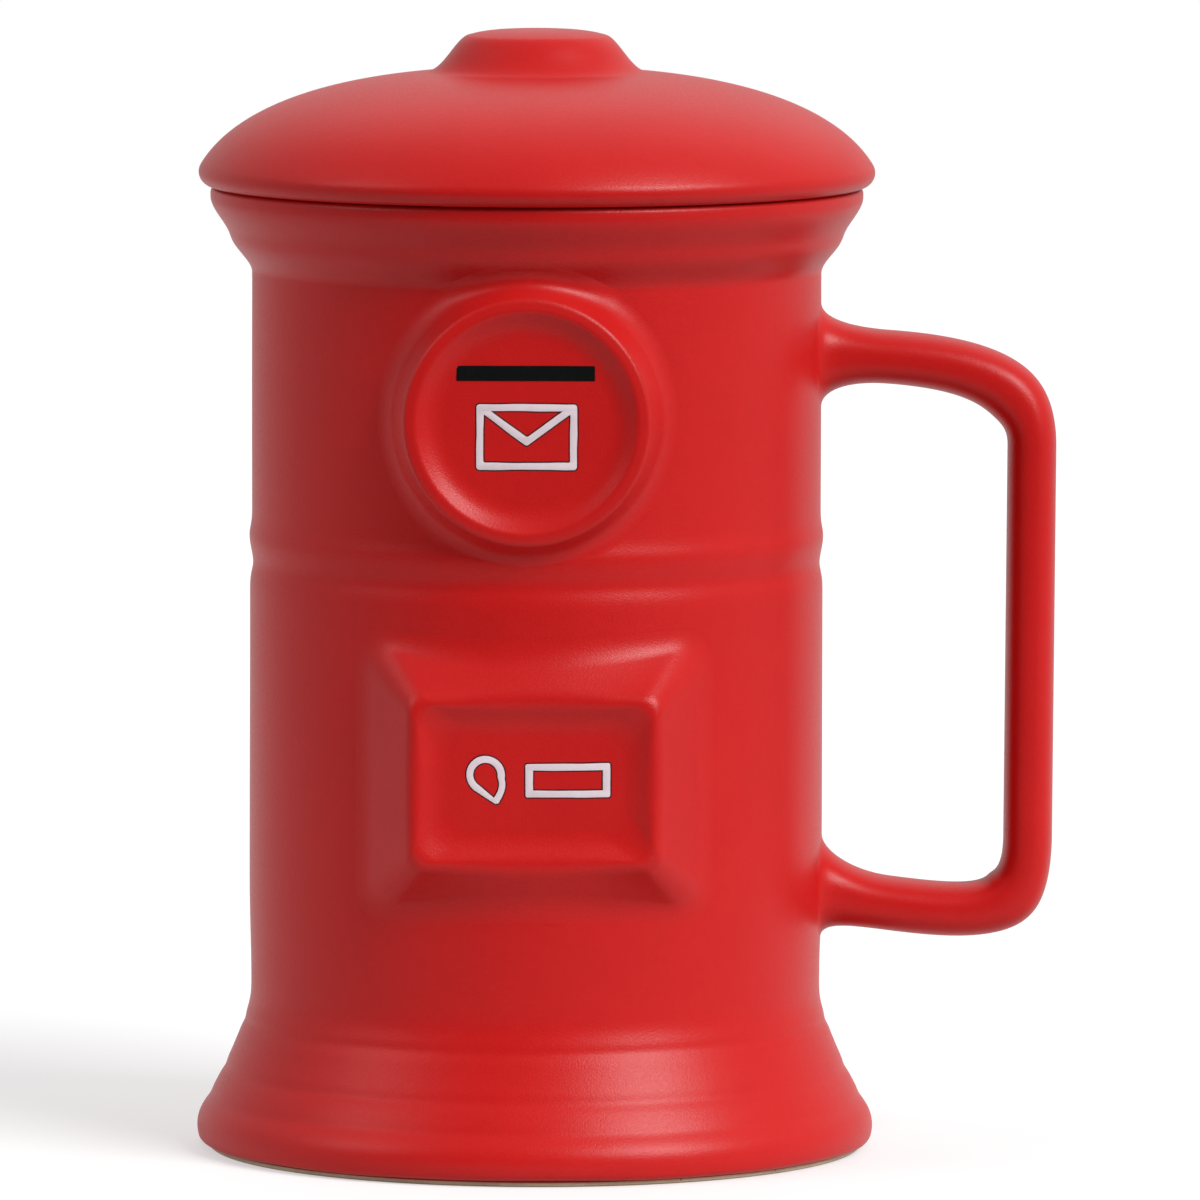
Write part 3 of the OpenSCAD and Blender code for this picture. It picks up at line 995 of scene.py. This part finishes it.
@dataclass(frozen=True)
class DoorPanel(Relief):
    """The oblong door low on the front: sloping sides with soft mitres, a rolled ridge and a sunk field."""

    proud: float = 3.2
    rise: float = 3.7
    ridge_w: float = 16.2
    ridge_h: float = 11.0
    spread_w: float = 6.4
    spread_h: float = 5.7
    bow: float = 1.5
    slope: float = 3.3
    corner: float = 2.2
    field_corner: float = 3.4
    foot_corner: float = 3.8
    fillet: float = 2.3
    field_inset: float = 6.5
    ridge_sink: float = 0.3
    rounds: tuple[float, ...] = (2.3, 1.9)
    corner_steps: int = 10
    side_steps: int = 44

    @property
    def z(self) -> float:
        """Height of the centre, a little above the middle of the lower wall."""
        return (self.cup.flare_h + self.cup.waist_z) / 2 + self.rise

    def frame(self, w: float, h: float, corner: float, bow: float = 0.0) -> np.ndarray:
        """A rounded oblong round the centre.

        Args:
            w: Half its width.
            h: Half its height.
            corner: Radius of its corners.
            bow: How far the ends of its long sides lie beyond their middles.

        Returns:
            Its points as x and z, alike in number for every frame.
        """
        quarter = np.radians(np.linspace(0, 90, self.corner_steps + 1))
        x_in, z_in = w - corner, h - corner
        hubs = ((x_in, z_in), (-x_in, z_in), (-x_in, -z_in), (x_in, -z_in))
        points = []
        for q, (x, z) in enumerate(hubs):
            a = quarter + q * math.pi / 2
            points += zip(x + corner * np.cos(a), z + corner * np.sin(a), strict=True)
            next_x, next_z = hubs[(q + 1) % 4]
            out_x, out_z = corner * math.cos(a[-1]), corner * math.sin(a[-1])
            for u in np.linspace(0, 1, self.side_steps + 1)[1:-1]:
                points.append((x + (next_x - x) * u + out_x, z + (next_z - z) * u + out_z))
        outline = np.array(points)
        outline[:, 1] += np.sign(outline[:, 1]) * bow * (outline[:, 0] / w) ** 2
        return outline + [0, self.z]

    def build(self, glaze: bpy.types.Material) -> None:
        """Makes the door panel.

        Args:
            glaze: Its finish.
        """
        w, h = self.ridge_w, self.ridge_h
        wide, high = w + self.spread_w, h + self.spread_h
        foot, flat, end = (
            self.frame(wide + more, high + more, self.foot_corner + more, self.bow) for more in self.skirt
        )
        insets = (self.field_inset, self.slope)
        field_in, field_out = (self.frame(w - inset, h - inset, self.field_corner) for inset in insets)
        rows = round_corners(
            [
                self.flat(field_in, self.field_y),
                self.flat(field_out, self.field_y),
                self.flat(self.frame(w, h, self.corner), self.crest_y - self.ridge_sink),
                self.cup.front(foot[:, 0], foot[:, 1]),
                self.cup.front(flat[:, 0], flat[:, 1]),
            ],
            (*self.rounds, self.fillet),
        )
        piece = self.close("door_panel_relief", rows, end, (0.0, self.z))
        install(piece, "door_panel", Body.MUG, glaze)


# ---- Printed drawings ----


@dataclass
class Print:
    """A thin print on an upright plane: an outline with holes, a flat top and a sloping edge."""

    name: str
    node: str
    plane_y: float
    slot: Slot
    material: bpy.types.Material
    loops: list[np.ndarray] = field(default_factory=list)
    thickness: float = 0.08
    halo: float = 0.28
    shake: float = 0.03
    sink: float = 0.02
    crease: float = 25.0

    EDGE = "print_edge"

    def add_loop(self, corners: Sequence[Sequence[float]], radius: float, seed: float) -> None:
        """Adds a hand-drawn closed outline.

        Args:
            corners: Its corners as x and z. The first loop is the outside, the others are holes.
            radius: How far each corner is rounded.
            seed: Sets how the hand shook.
        """
        points = np.array(corners, float)
        line = []
        for k, at in enumerate(points):
            back, on = points[k - 1] - at, points[(k + 1) % len(points)] - at
            cut = min(radius, 0.45 * np.linalg.norm(back), 0.45 * np.linalg.norm(on))
            a, b = at + unit(back) * cut, at + unit(on) * cut
            line += [(1 - u) ** 2 * a + 2 * u * (1 - u) * at + u * u * b for u in np.linspace(0, 1, 7)]
            reach = points[(k + 1) % len(points)] - unit(on) * cut
            line += [b + (reach - b) * u for u in np.linspace(0, 1, 14)[1:-1]]
        self.add_line(np.array(line), seed)

    def add_line(self, line: np.ndarray, seed: float) -> None:
        """Adds a closed outline, shaken a little as a hand draws.

        Args:
            line: Its close points as x and z.
            seed: Sets how the hand shook.
        """
        x, z = line[:, 0], line[:, 1]
        shaken = line + self.shake * np.column_stack([
            np.sin(0.8 * z + 2.3 * seed) + 0.4 * np.sin(1.9 * z + seed),
            np.sin(0.6 * x + 1.7 * seed) + 0.4 * np.sin(1.4 * x - seed),
        ])
        self.loops.append(shaken)

    @staticmethod
    def grown(loop: np.ndarray, by: float) -> np.ndarray:
        """Moves a loop outwards.

        Args:
            loop: Its points as x and z.
            by: The distance, negative for inwards.

        Returns:
            The moved points.
        """
        along = unit(np.roll(loop, -1, axis=0) - np.roll(loop, 1, axis=0))
        x, z = loop[:, 0], loop[:, 1]
        area = np.sum(x * np.roll(z, -1) - z * np.roll(x, -1))
        return loop + by * math.copysign(1, area) * np.column_stack([along[:, 1], -along[:, 0]])

    def build(self) -> None:
        """Makes the print: a top that lies on the loops, and an edge that slopes out to the glaze."""
        sides = [self.grown(loop, self.halo if k == 0 else -self.halo) for k, loop in enumerate(self.loops)]
        low = [Relief.flat(loop, self.plane_y + self.sink) for loop in sides]
        high = [Relief.flat(loop, self.plane_y - self.thickness) for loop in self.loops]
        points = np.vstack(low + high)
        shift = sum(len(loop) for loop in low)
        faces, start = [], 0
        for loop in low:
            size = len(loop)
            ids = [start + i for i in range(size)]
            faces += [(a, b, b + shift, a + shift) for a, b in zip(ids, ids[1:] + ids[:1], strict=True)]
            start += size
        caps = tessellate_polygon([[Vector((p[0], p[2], 0)) for p in loop] for loop in high])
        faces += [tuple(reversed(cap)) for cap in caps]
        faces += [tuple(i + shift for i in cap) for cap in caps]
        piece = make_object(self.name, points, faces)
        rim = piece.data.attributes.new(self.EDGE, "FLOAT", "POINT")
        rim.data.foreach_set("value", [1.0] * shift + [0.0] * shift)
        piece.data.set_sharp_from_angle(angle=math.radians(self.crease))
        install(piece, self.node, Body.MUG, self.material)


@dataclass(frozen=True)
class Drawings:
    """The four printed drawings: a posting slot and an envelope above, a keyhole and a name label below."""

    medallion: Medallion
    panel: DoorPanel
    black: bpy.types.Material
    white: bpy.types.Material
    line_w: float = 0.85
    slot_w: float = 18.2
    slot_h: float = 1.95
    slot_up: float = 6.5
    slot_left: float = 0.15
    envelope_w: float = 13.2
    envelope_h: float = 8.6
    envelope_down: float = 1.9
    flap_down: float = 4.5
    key_x: float = -6.45
    key_up: float = 1.05
    key_r: float = 2.5
    key_tip: tuple[float, float] = (1.45, -3.35)
    key_bulge: float = 0.34
    label_x: float = 4.4
    label_up: float = 0.3
    label_w: float = 11.1
    label_h: float = 4.45

    @staticmethod
    def oblong(x: float, z: float, w: float, h: float) -> list[tuple[float, float]]:
        """Corners of an oblong from its middle and half its width and height."""
        return [(x - w, z - h), (x + w, z - h), (x + w, z + h), (x - w, z + h)]

    def slot(self) -> None:
        """Draws the black posting slot."""
        x, z = self.medallion.x - self.slot_left, self.medallion.z + self.slot_up
        w, h = self.slot_w / 2, self.slot_h / 2
        bar = Print("slot_print", "slot_decal", self.medallion.field_y, Slot.BLACK, self.black,
                    halo=0.04, shake=0.006)
        bar.add_loop(self.oblong(x, z, w, h), 0.06, 0.4)
        bar.build()

    def envelope(self) -> None:
        """Draws the closed envelope: its outline and the flap folded down over it."""
        x, z = self.medallion.x, self.medallion.z - self.envelope_down
        w, h, t = self.envelope_w / 2, self.envelope_h / 2, self.line_w
        mid_w, mid_h = w - t / 2, h - t / 2
        slope = self.flap_down / mid_w
        fold = t / 2 * math.hypot(1, slope)
        apex = mid_h - self.flap_down
        drawn = Print("envelope_print", "envelope_decal", self.medallion.field_y, Slot.WHITE, self.white)
        drawn.add_loop(self.oblong(x, z, w, h), 0.45, 1.3)
        top_x = mid_w - (fold + t / 2) / slope
        drawn.add_loop([(x - top_x, z + h - t), (x, z + apex + fold), (x + top_x, z + h - t)], 0.3, 2.1)
        low_x, low_z = w - t, mid_h - slope * t / 2 - fold
        drawn.add_loop(
            [(x - low_x, z - h + t), (x + low_x, z - h + t), (x + low_x, z + low_z), (x, z + apex - fold),
             (x - low_x, z + low_z)],
            0.3, 3.4,
        )
        drawn.build()

    def drop_line(self, r: float, tip: tuple[float, float], blunt: float) -> np.ndarray:
        """A drop's outline: a round end, and two sides that run to a blunt tip.

        Args:
            r: Radius of the round end.
            tip: Place of the tip from the middle of the round end.
            blunt: Radius of the tip.

        Returns:
            Its points as x and z, from the middle of the round end.
        """
        length, heading = math.hypot(*tip), math.atan2(tip[1], tip[0])
        touch = math.acos((r - blunt) / length)
        around = np.linspace(heading + touch, heading + 2 * math.pi - touch, 60)
        nose = np.linspace(heading - touch, heading + touch, 12)
        round_end = np.column_stack([r * np.cos(around), r * np.sin(around)])
        end = np.column_stack([tip[0] + blunt * np.cos(nose), tip[1] + blunt * np.sin(nose)])
        u = np.linspace(0, 1, 12)[1:-1, None]
        left = round_end[-1] + (end[0] - round_end[-1]) * u
        right = end[-1] + (round_end[0] - end[-1]) * u
        right = right + [self.key_bulge, 0] * (4 * u * (1 - u))
        return np.vstack([round_end, left, end, right])

    def keyhole(self) -> None:
        """Draws the keyhole as the outline of a drop."""
        at = np.array([self.key_x, self.panel.z + self.key_up])
        inner = (self.key_tip[0] * 0.75, self.key_tip[1] * 0.86)
        drawn = Print("keyhole_print", "keyhole_decal", self.panel.field_y, Slot.WHITE, self.white)
        drawn.add_line(at + self.drop_line(self.key_r, self.key_tip, 0.42), 0.9)
        drawn.add_line(at + self.drop_line(self.key_r - self.line_w, inner, 0.14), 1.6)
        drawn.build()

    def label(self) -> None:
        """Draws the outline of the name label."""
        x, z = self.label_x, self.panel.z + self.label_up
        w, h, t = self.label_w / 2, self.label_h / 2, self.line_w
        drawn = Print("label_print", "label_decal", self.panel.field_y, Slot.WHITE, self.white, shake=0.025)
        drawn.add_loop(
            [(x - w, z - h), (x + w, z - h + 0.08), (x + w + 0.05, z + h + 0.1), (x - w, z + h - 0.1)],
            0.28, 4.2,
        )
        drawn.add_loop(
            [(x - w + t + 0.1, z - h + t), (x + w - t, z - h + t + 0.05), (x + w - t, z + h - t + 0.05),
             (x - w + t + 0.1, z + h - t - 0.03)],
            0.1, 5.0,
        )
        drawn.build()

    def build(self) -> None:
        """Makes all four prints."""
        self.slot()
        self.envelope()
        self.keyhole()
        self.label()


# ---- Handle ----


@dataclass(frozen=True)
class Handle:
    """The ear: a boxy strap that leaves the wall in a fillet, turns down a straight grip and comes back."""

    cup: Cup
    sides: int = 72
    grip_t: float = 3.28
    arm_t: float = 3.56
    corner_t: float = 0.45
    half_w: float = 5.8
    squareness: float = 0.8
    arm_drop: float = 22.6
    root_z: float = 34.35
    grip_x: float = 66.3
    grip_lean: float = 0.3
    upper_bend: float = 12.2
    lower_bend: float = 8.0
    root_x: float = 37.0
    fillet_reach: float = 8.8
    root_half_t: float = 7.0
    root_half_w: float = 7.7
    root_lift: float = 0.85
    root_deep: float = 1.9
    fillet_start: float = 5.6
    fillet_end: float = 2.1
    fillet_steps: int = 16
    upper_pull: float = 12.0
    upper_out: float = 0.05
    upper_fall: float = 1.7
    lower_sag: float = 4.9
    lower_pull: float = 7.0
    lower_dip: float = 3.1

    def bones(self) -> np.ndarray:
        """The axis from root to root.

        Returns:
            Its close points, as x and z.
        """
        arm_z = self.cup.datum.rim_z - self.arm_drop
        top = (self.grip_x + self.grip_lean, arm_z - self.upper_bend)
        low = (self.grip_x, self.root_z + self.lower_bend)
        upper = [(self.root_x, arm_z), (self.grip_x - self.upper_pull, arm_z),
                 (top[0] + self.upper_out, arm_z - self.upper_fall), top]
        lower = [low, (self.grip_x, self.root_z - self.lower_sag),
                 (self.grip_x - self.lower_pull, self.root_z - self.lower_dip), (self.root_x, self.root_z)]
        u = np.linspace(0, 1, 81)[:, None]
        grip = np.array(top) + (np.array(low) - np.array(top)) * np.linspace(0, 1, 22)[1:-1, None]
        return np.vstack([self._bezier(upper, u), grip, self._bezier(lower, u)])

    @staticmethod
    def _bezier(p: Sequence[Sequence[float] | np.ndarray], u: np.ndarray | float) -> np.ndarray:
        """Points on a cubic curve with four control points."""
        a, b, c, d = (np.array(q) for q in p)
        return (1 - u) ** 3 * a + 3 * u * (1 - u) ** 2 * b + 3 * u * u * (1 - u) * c + u**3 * d

    def _power(self, v: np.ndarray) -> np.ndarray:
        """Makes an oval boxier."""
        return np.sign(v) * np.abs(v) ** self.squareness

    def section(self, at: np.ndarray, along: np.ndarray) -> np.ndarray:
        """The strap's section.

        Args:
            at: The point of the axis, as x and z.
            along: The axis's direction there.

        Returns:
            Its points, (sides, 3).
        """
        a = turn(self.sides)
        level, upright = along[0] ** 2, along[1] ** 2
        half_t = self.grip_t + (self.arm_t - self.grip_t) * level + 4 * self.corner_t * level * upright
        s = half_t * self._power(np.cos(a))
        y = -self.half_w * self._power(np.sin(a))
        return np.column_stack([at[0] - along[1] * s, y, at[1] + along[0] * s])

    def fillet(self, ring: np.ndarray, along: np.ndarray, root_z: float) -> list[np.ndarray]:
        """Loops that carry the strap's last section out onto the wall.

        Args:
            ring: That section.
            along: The axis's direction there, away from the wall.
            root_z: Height at which the axis meets the wall.

        Returns:
            Loops from the section to just under the wall.
        """
        a = turn(self.sides)
        flip = math.copysign(1, along[0])
        out_z, out_y = flip * self._power(np.cos(a)), -self._power(np.sin(a))

        def on_wall(grow: float, depth: float = 0.0) -> np.ndarray:
            """The root's outline on the wall, grown by a distance."""
            y, z = out_y * (self.root_half_w + grow), out_z * (self.root_half_t + grow)
            return self.cup.side(y, root_z + z, depth)

        foot = on_wall(0)
        inward = unit(on_wall(-0.5) - foot)
        start = ring - np.array([along[0], 0, along[1]]) * self.fillet_start * flip
        bend = foot + inward * self.fillet_end
        shares = np.linspace(0, 1, self.fillet_steps + 1)[1:]
        rows = [self._bezier((ring, start, bend, foot), u) for u in shares]
        return [*rows, on_wall(0.35, 0.05), on_wall(0.3, 1.4)]

    def build(self, glaze: bpy.types.Material) -> None:
        """Makes the handle.

        Args:
            glaze: Its finish.
        """
        bones = self.bones()
        along = unit(np.gradient(bones, axis=0))
        kept = np.flatnonzero(bones[:, 0] > self.cup.wall_r + self.fillet_reach)
        body = [self.section(bones[k], along[k]) for k in kept]
        first, last = kept[0], kept[-1]
        upper_z = self.cup.datum.rim_z - self.arm_drop
        lower_z = self.root_z + self.root_lift
        upper = self.fillet(body[0], along[first], upper_z)
        lower = self.fillet(body[-1], along[last], lower_z)
        rows = np.array([*reversed(upper), *body, *lower])
        deep = self.cup.wall_r - self.root_deep
        piece = skin("handle_strap", rows, (np.array([deep, 0, upper_z]), np.array([deep, 0, lower_z])))
        install(piece, "handle", Body.MUG, glaze)


# ---- Lid ----


@dataclass(frozen=True)
class Lid:
    """The loose lid: a full dome with a rounded edge, a low button, and a ring that drops into the mouth."""

    cup: Cup
    throwing: Throwing = Throwing(oval=0.03, sway=0.02, ripple=0.012)
    sides: int = 288
    rise: float = 15.75
    thickness: float = 4.0
    dome_reach: float = 1.8
    dome_fall: float = 21.42
    dome_crown: float = 2.49
    dome_shoulder: float = 2.455
    edge_in: float = 0.25
    overhang: float = 1.55
    knob_top_r: float = 9.25
    knob_side: float = 6.0
    knob_crown: float = 0.6
    flange_t: float = 3.2
    flange_gap: float = 0.9
    hollow_round: float = 4.0

    @property
    def lid_r(self) -> float:
        """Radius of the lid, whose rounded edge bulges a hair past it."""
        return self.cup.rim_r + self.overhang

    @property
    def seat_z(self) -> float:
        """Height at which the lid rests on the rim."""
        return self.cup.datum.rim_z

    @property
    def knob_h(self) -> float:
        """Height of the button above the dome's crown."""
        return self.cup.datum.knob_z - (self.seat_z + self.rise)

    @property
    def flange_r(self) -> float:
        """Outer radius of the ring that drops into the mouth."""
        return float(self.cup.inside(np.array([self.cup.datum.flange_z]))[0]) - self.flange_gap

    def dome(self, r: np.ndarray) -> np.ndarray:
        """Height of the dome's top at a radius."""
        share = 1 - (np.asarray(r) / (self.lid_r + self.dome_reach)) ** self.dome_crown
        return self.seat_z + self.rise - self.dome_fall * (1 - share ** (1 / self.dome_shoulder))

    def button(self, r: np.ndarray) -> np.ndarray:
        """Height of the button's top at a radius. It flows into the dome."""
        height = self.knob_h - self.knob_crown * (r / self.knob_top_r) ** 4
        return self.dome(r) + height * (1 - smooth((r - self.knob_top_r) / self.knob_side))

    def build_dome(self, glaze: bpy.types.Material) -> None:
        """Makes the dome, hollow underneath.

        Args:
            glaze: Its finish.
        """
        start = self.lid_r - self.edge_in
        step = 0.01
        fall = float(self.dome(start - step) - self.dome(start + step))
        lean = math.degrees(math.atan2(2 * step, fall))
        tilt = math.radians(lean)
        round_r = (float(self.dome(start)) - self.seat_z) / (1 + math.sin(tilt))
        edge = arc(start - round_r * math.cos(tilt), self.seat_z + round_r, round_r, lean, -90, 18)
        knob_r = self.knob_top_r + self.knob_side
        under_knob = np.linspace(3, knob_r - 0.6, 8)
        shade = 0.5 * smooth((knob_r - under_knob) / 2)
        over = np.concatenate([np.linspace(knob_r - 0.3, 40, 44), np.linspace(40.3, start, 30)[:-1]])
        hollow_r = self.flange_r - self.flange_t
        corner_r = hollow_r - self.hollow_round
        hollow = np.linspace(corner_r, 0, 14)
        ceiling = self.dome(np.maximum(hollow, knob_r)) - self.thickness
        profile = np.vstack([
            [[0, float(self.dome(3.0)) - 0.5]],
            np.column_stack([under_knob, self.dome(under_knob) - shade]),
            np.column_stack([over, self.dome(over)]),
            edge,
            [[self.flange_r - 0.6, self.seat_z], [hollow_r, self.seat_z]],
            arc(corner_r, ceiling[0] - self.hollow_round, self.hollow_round, 0, 65, 8),
            np.column_stack([hollow, ceiling]),
        ])
        piece = revolve("lid_dome_shell", profile, self.sides, self.throwing)
        install(piece, "lid_dome", Body.LID, glaze)

    def build_flange(self, glaze: bpy.types.Material) -> None:
        """Makes the ring that centres the lid in the mouth.

        Args:
            glaze: Its finish.
        """
        edge, low, up = 0.8, self.cup.datum.flange_z, self.seat_z + 0.3
        out_r, in_r = self.flange_r, self.flange_r - self.flange_t
        ring = np.vstack([
            arc(in_r + edge, low + edge, edge, 180, 270, 6),
            arc(out_r - edge, low + edge, edge, -90, 0, 6),
            [[out_r, self.seat_z - 1.2], [out_r, up], [in_r + 0.05, up], [in_r, self.seat_z - 1.2]],
        ])
        piece = revolve("lid_flange_ring", ring, self.sides, self.throwing, closed=True)
        install(piece, "lid_flange", Body.LID, glaze)

    def build_knob(self, glaze: bpy.types.Material) -> None:
        """Makes the button, whose skirt lies just under the dome's surface at its end.

        Args:
            glaze: Its finish.
        """
        top_r, knob_r = self.knob_top_r, self.knob_top_r + self.knob_side
        r = np.concatenate([np.linspace(1.5, top_r, 8), np.linspace(top_r + 0.2, knob_r, 36)])
        tail = np.array([knob_r + 0.5, knob_r + 0.3])
        tail_z = self.dome(tail) - [0.05, 1.2]
        profile = np.vstack([
            [[0, float(self.button(np.array([0.0]))[0])]],
            np.column_stack([r, self.button(r)]),
            np.column_stack([tail, tail_z]),
            [[knob_r - 2, tail_z[1]], [0, tail_z[1]]],
        ])
        piece = revolve("lid_button", profile, self.sides // 2, self.throwing)
        install(piece, "lid_knob", Body.LID, glaze)

    def build(self, glaze: bpy.types.Material) -> None:
        """Makes the whole lid.

        Args:
            glaze: Its finish.
        """
        self.build_dome(glaze)
        self.build_flange(glaze)
        self.build_knob(glaze)


# ---- Studio ----


@dataclass(frozen=True)
class Lamp:
    """A large soft light far away, given by where it stands round the mug."""

    name: str
    azimuth: float
    elevation: float
    spread: float
    strength: float

    def build(self) -> None:
        """Makes the light. Azimuth 0 is in front, and it grows towards the handle."""
        data = bpy.data.lights.new(self.name, "SUN")
        data.energy, data.angle = self.strength, math.radians(self.spread)
        lamp = bpy.data.objects.new(self.name, data)
        a, e = math.radians(self.azimuth), math.radians(self.elevation)
        towards = Vector((math.sin(a) * math.cos(e), -math.cos(a) * math.cos(e), math.sin(e)))
        lamp.rotation_euler = towards.to_track_quat("Z", "Y").to_euler()
        bpy.context.scene.collection.objects.link(lamp)


@dataclass(frozen=True)
class Studio:
    """A white table in a white room, with soft lamps, and the camera that looks at the mug."""

    front_light: float = 0.06
    back_light: float = 0.62
    ceiling_light: float = 0.35
    floor_tone: float = 0.46
    tooth: float = 0.005
    floor_glow: float = 0.48
    floor_bounce: float = 0.2
    table_box: tuple[tuple[float, float], tuple[float, float]] = ((-0.34, -0.26), (0.34, 1.6))
    camera_at: tuple[float, float, float] = (8.6, -1975.0, 261.5)
    pitch: float = -5.43
    roll: float = 0.15
    lens: float = 442.35
    lamps: tuple[Lamp, ...] = (
        Lamp("key_lamp", 48, 37, 31, 3.35),
        Lamp("side_lamp", -69, 34, 30, 0.5),
        Lamp("back_lamp", 165, 50, 60, 0.2),
    )

    def build_floor(self) -> None:
        """Lays the white table, with a faint tooth in its paper."""
        mesh = bpy.data.meshes.new("table")
        (left, near), (right, far) = self.table_box
        points = [(left, near, 0), (right, near, 0), (right, far, 0), (left, far, 0)]
        mesh.from_pydata(points, [], [(0, 1, 2, 3)])
        table = bpy.data.objects.new("table", mesh)
        bpy.context.scene.collection.objects.link(table)
        material, nodes, shader = new_material("white_paper")
        own = nodes.add("TexCoord").outputs["Object"]
        tones = self.floor_tone - self.tooth, self.floor_tone + self.tooth
        tone = nodes.remap(nodes.noise(own, 3.0), 0.3, 0.7, *tones)
        seen = nodes.add("LightPath").outputs["Is Camera Ray"]
        nodes.feed(shader, {
            "Base Color": nodes.add("CombineColor", {0: tone, 1: tone, 2: tone}).outputs[0],
            "Roughness": 0.9,
            "Emission Color": WHITE,
            "Emission Strength": nodes.remap(seen, 0.0, 1.0, self.floor_bounce, self.floor_glow),
        })
        mesh.materials.append(material)
        table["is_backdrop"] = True

    def build_world(self) -> None:
        """Makes the room: pure white to the eye, dimmer as a light."""
        world = bpy.data.worlds.new("white_room")
        bpy.context.scene.world = world
        world.use_nodes = True
        world.node_tree.nodes.clear()
        nodes = Tree(world.node_tree)
        seen = nodes.add("LightPath").outputs["Is Camera Ray"]
        way = nodes.add("SeparateXYZ", {0: nodes.add("TexCoord").outputs["Generated"]})
        behind = nodes.remap(way.outputs["Y"], -0.95, 0.0, self.front_light, self.back_light, soft=True)
        above = nodes.remap(way.outputs["Z"], 0.3, 0.95, 0.0, self.ceiling_light, soft=True)
        glow = nodes.math("MAXIMUM", behind, above)
        room = nodes.add("Background", {"Color": WHITE, "Strength": glow})
        white = nodes.add("Background", {"Color": WHITE, "Strength": 1.0})
        both = nodes.add("MixShader", {0: seen, 1: room.outputs[0], 2: white.outputs[0]})
        nodes.add("OutputWorld", {"Surface": both.outputs[0]})

    def build_camera(self) -> None:
        """Sets the camera up in front and a little above."""
        data = bpy.data.cameras.new("camera")
        data.lens, data.sensor_width, data.clip_end = self.lens, 36.0, 50.0
        camera = bpy.data.objects.new("camera", data)
        camera.location = Vector(self.camera_at) * MM
        tilt = Euler((math.radians(90 + self.pitch), 0, 0)).to_quaternion()
        camera.rotation_euler = (tilt @ Quaternion((0, 0, 1), math.radians(self.roll))).to_euler()
        bpy.context.scene.collection.objects.link(camera)
        bpy.context.scene.camera = camera

    def build(self) -> None:
        """Makes the studio."""
        self.build_camera()
        self.build_floor()
        self.build_world()
        for lamp in self.lamps:
            lamp.build()
        bpy.context.scene.view_settings.view_transform = "Standard"


# ---- The whole mug ----


def corners(box: tuple[Vector, Vector]) -> list[list[float]]:
    """A box as plain lists of numbers."""
    return [[round(c, 6) for c in corner] for corner in box]


def main() -> None:
    """Builds the mug around the frame."""
    logging.basicConfig(level=logging.INFO, format="%(name)s: %(message)s")
    cad_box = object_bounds()
    Studio().build()
    effects = Effects()
    glaze = FiredGlaze().build(effects)
    cup = Cup(Datum.read())
    clay = BareClay(glaze_z=cup.datum.clay_z).build(effects)
    black = FiredPrint("black_print", (0.0022, 0.0026, 0.0026, 1), (0.0035, 0.004, 0.004, 1),
                       edge=(0.03, 0.004, 0.005, 1)).build(effects)
    white = FiredPrint("white_print", (0.66, 0.56, 0.60, 1), (0.71, 0.62, 0.66, 1)).build(effects)
    cup.build(glaze)
    cup.build_foot(clay)
    medallion, panel = Medallion(cup), DoorPanel(cup)
    medallion.build(glaze)
    panel.build(glaze)
    Drawings(medallion, panel, black, white).build()
    Handle(cup).build(glaze)
    Lid(cup).build(glaze)
    {"cad": corners(cad_box), "visual": corners(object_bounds())}


if __name__ == "__main__":
    main()
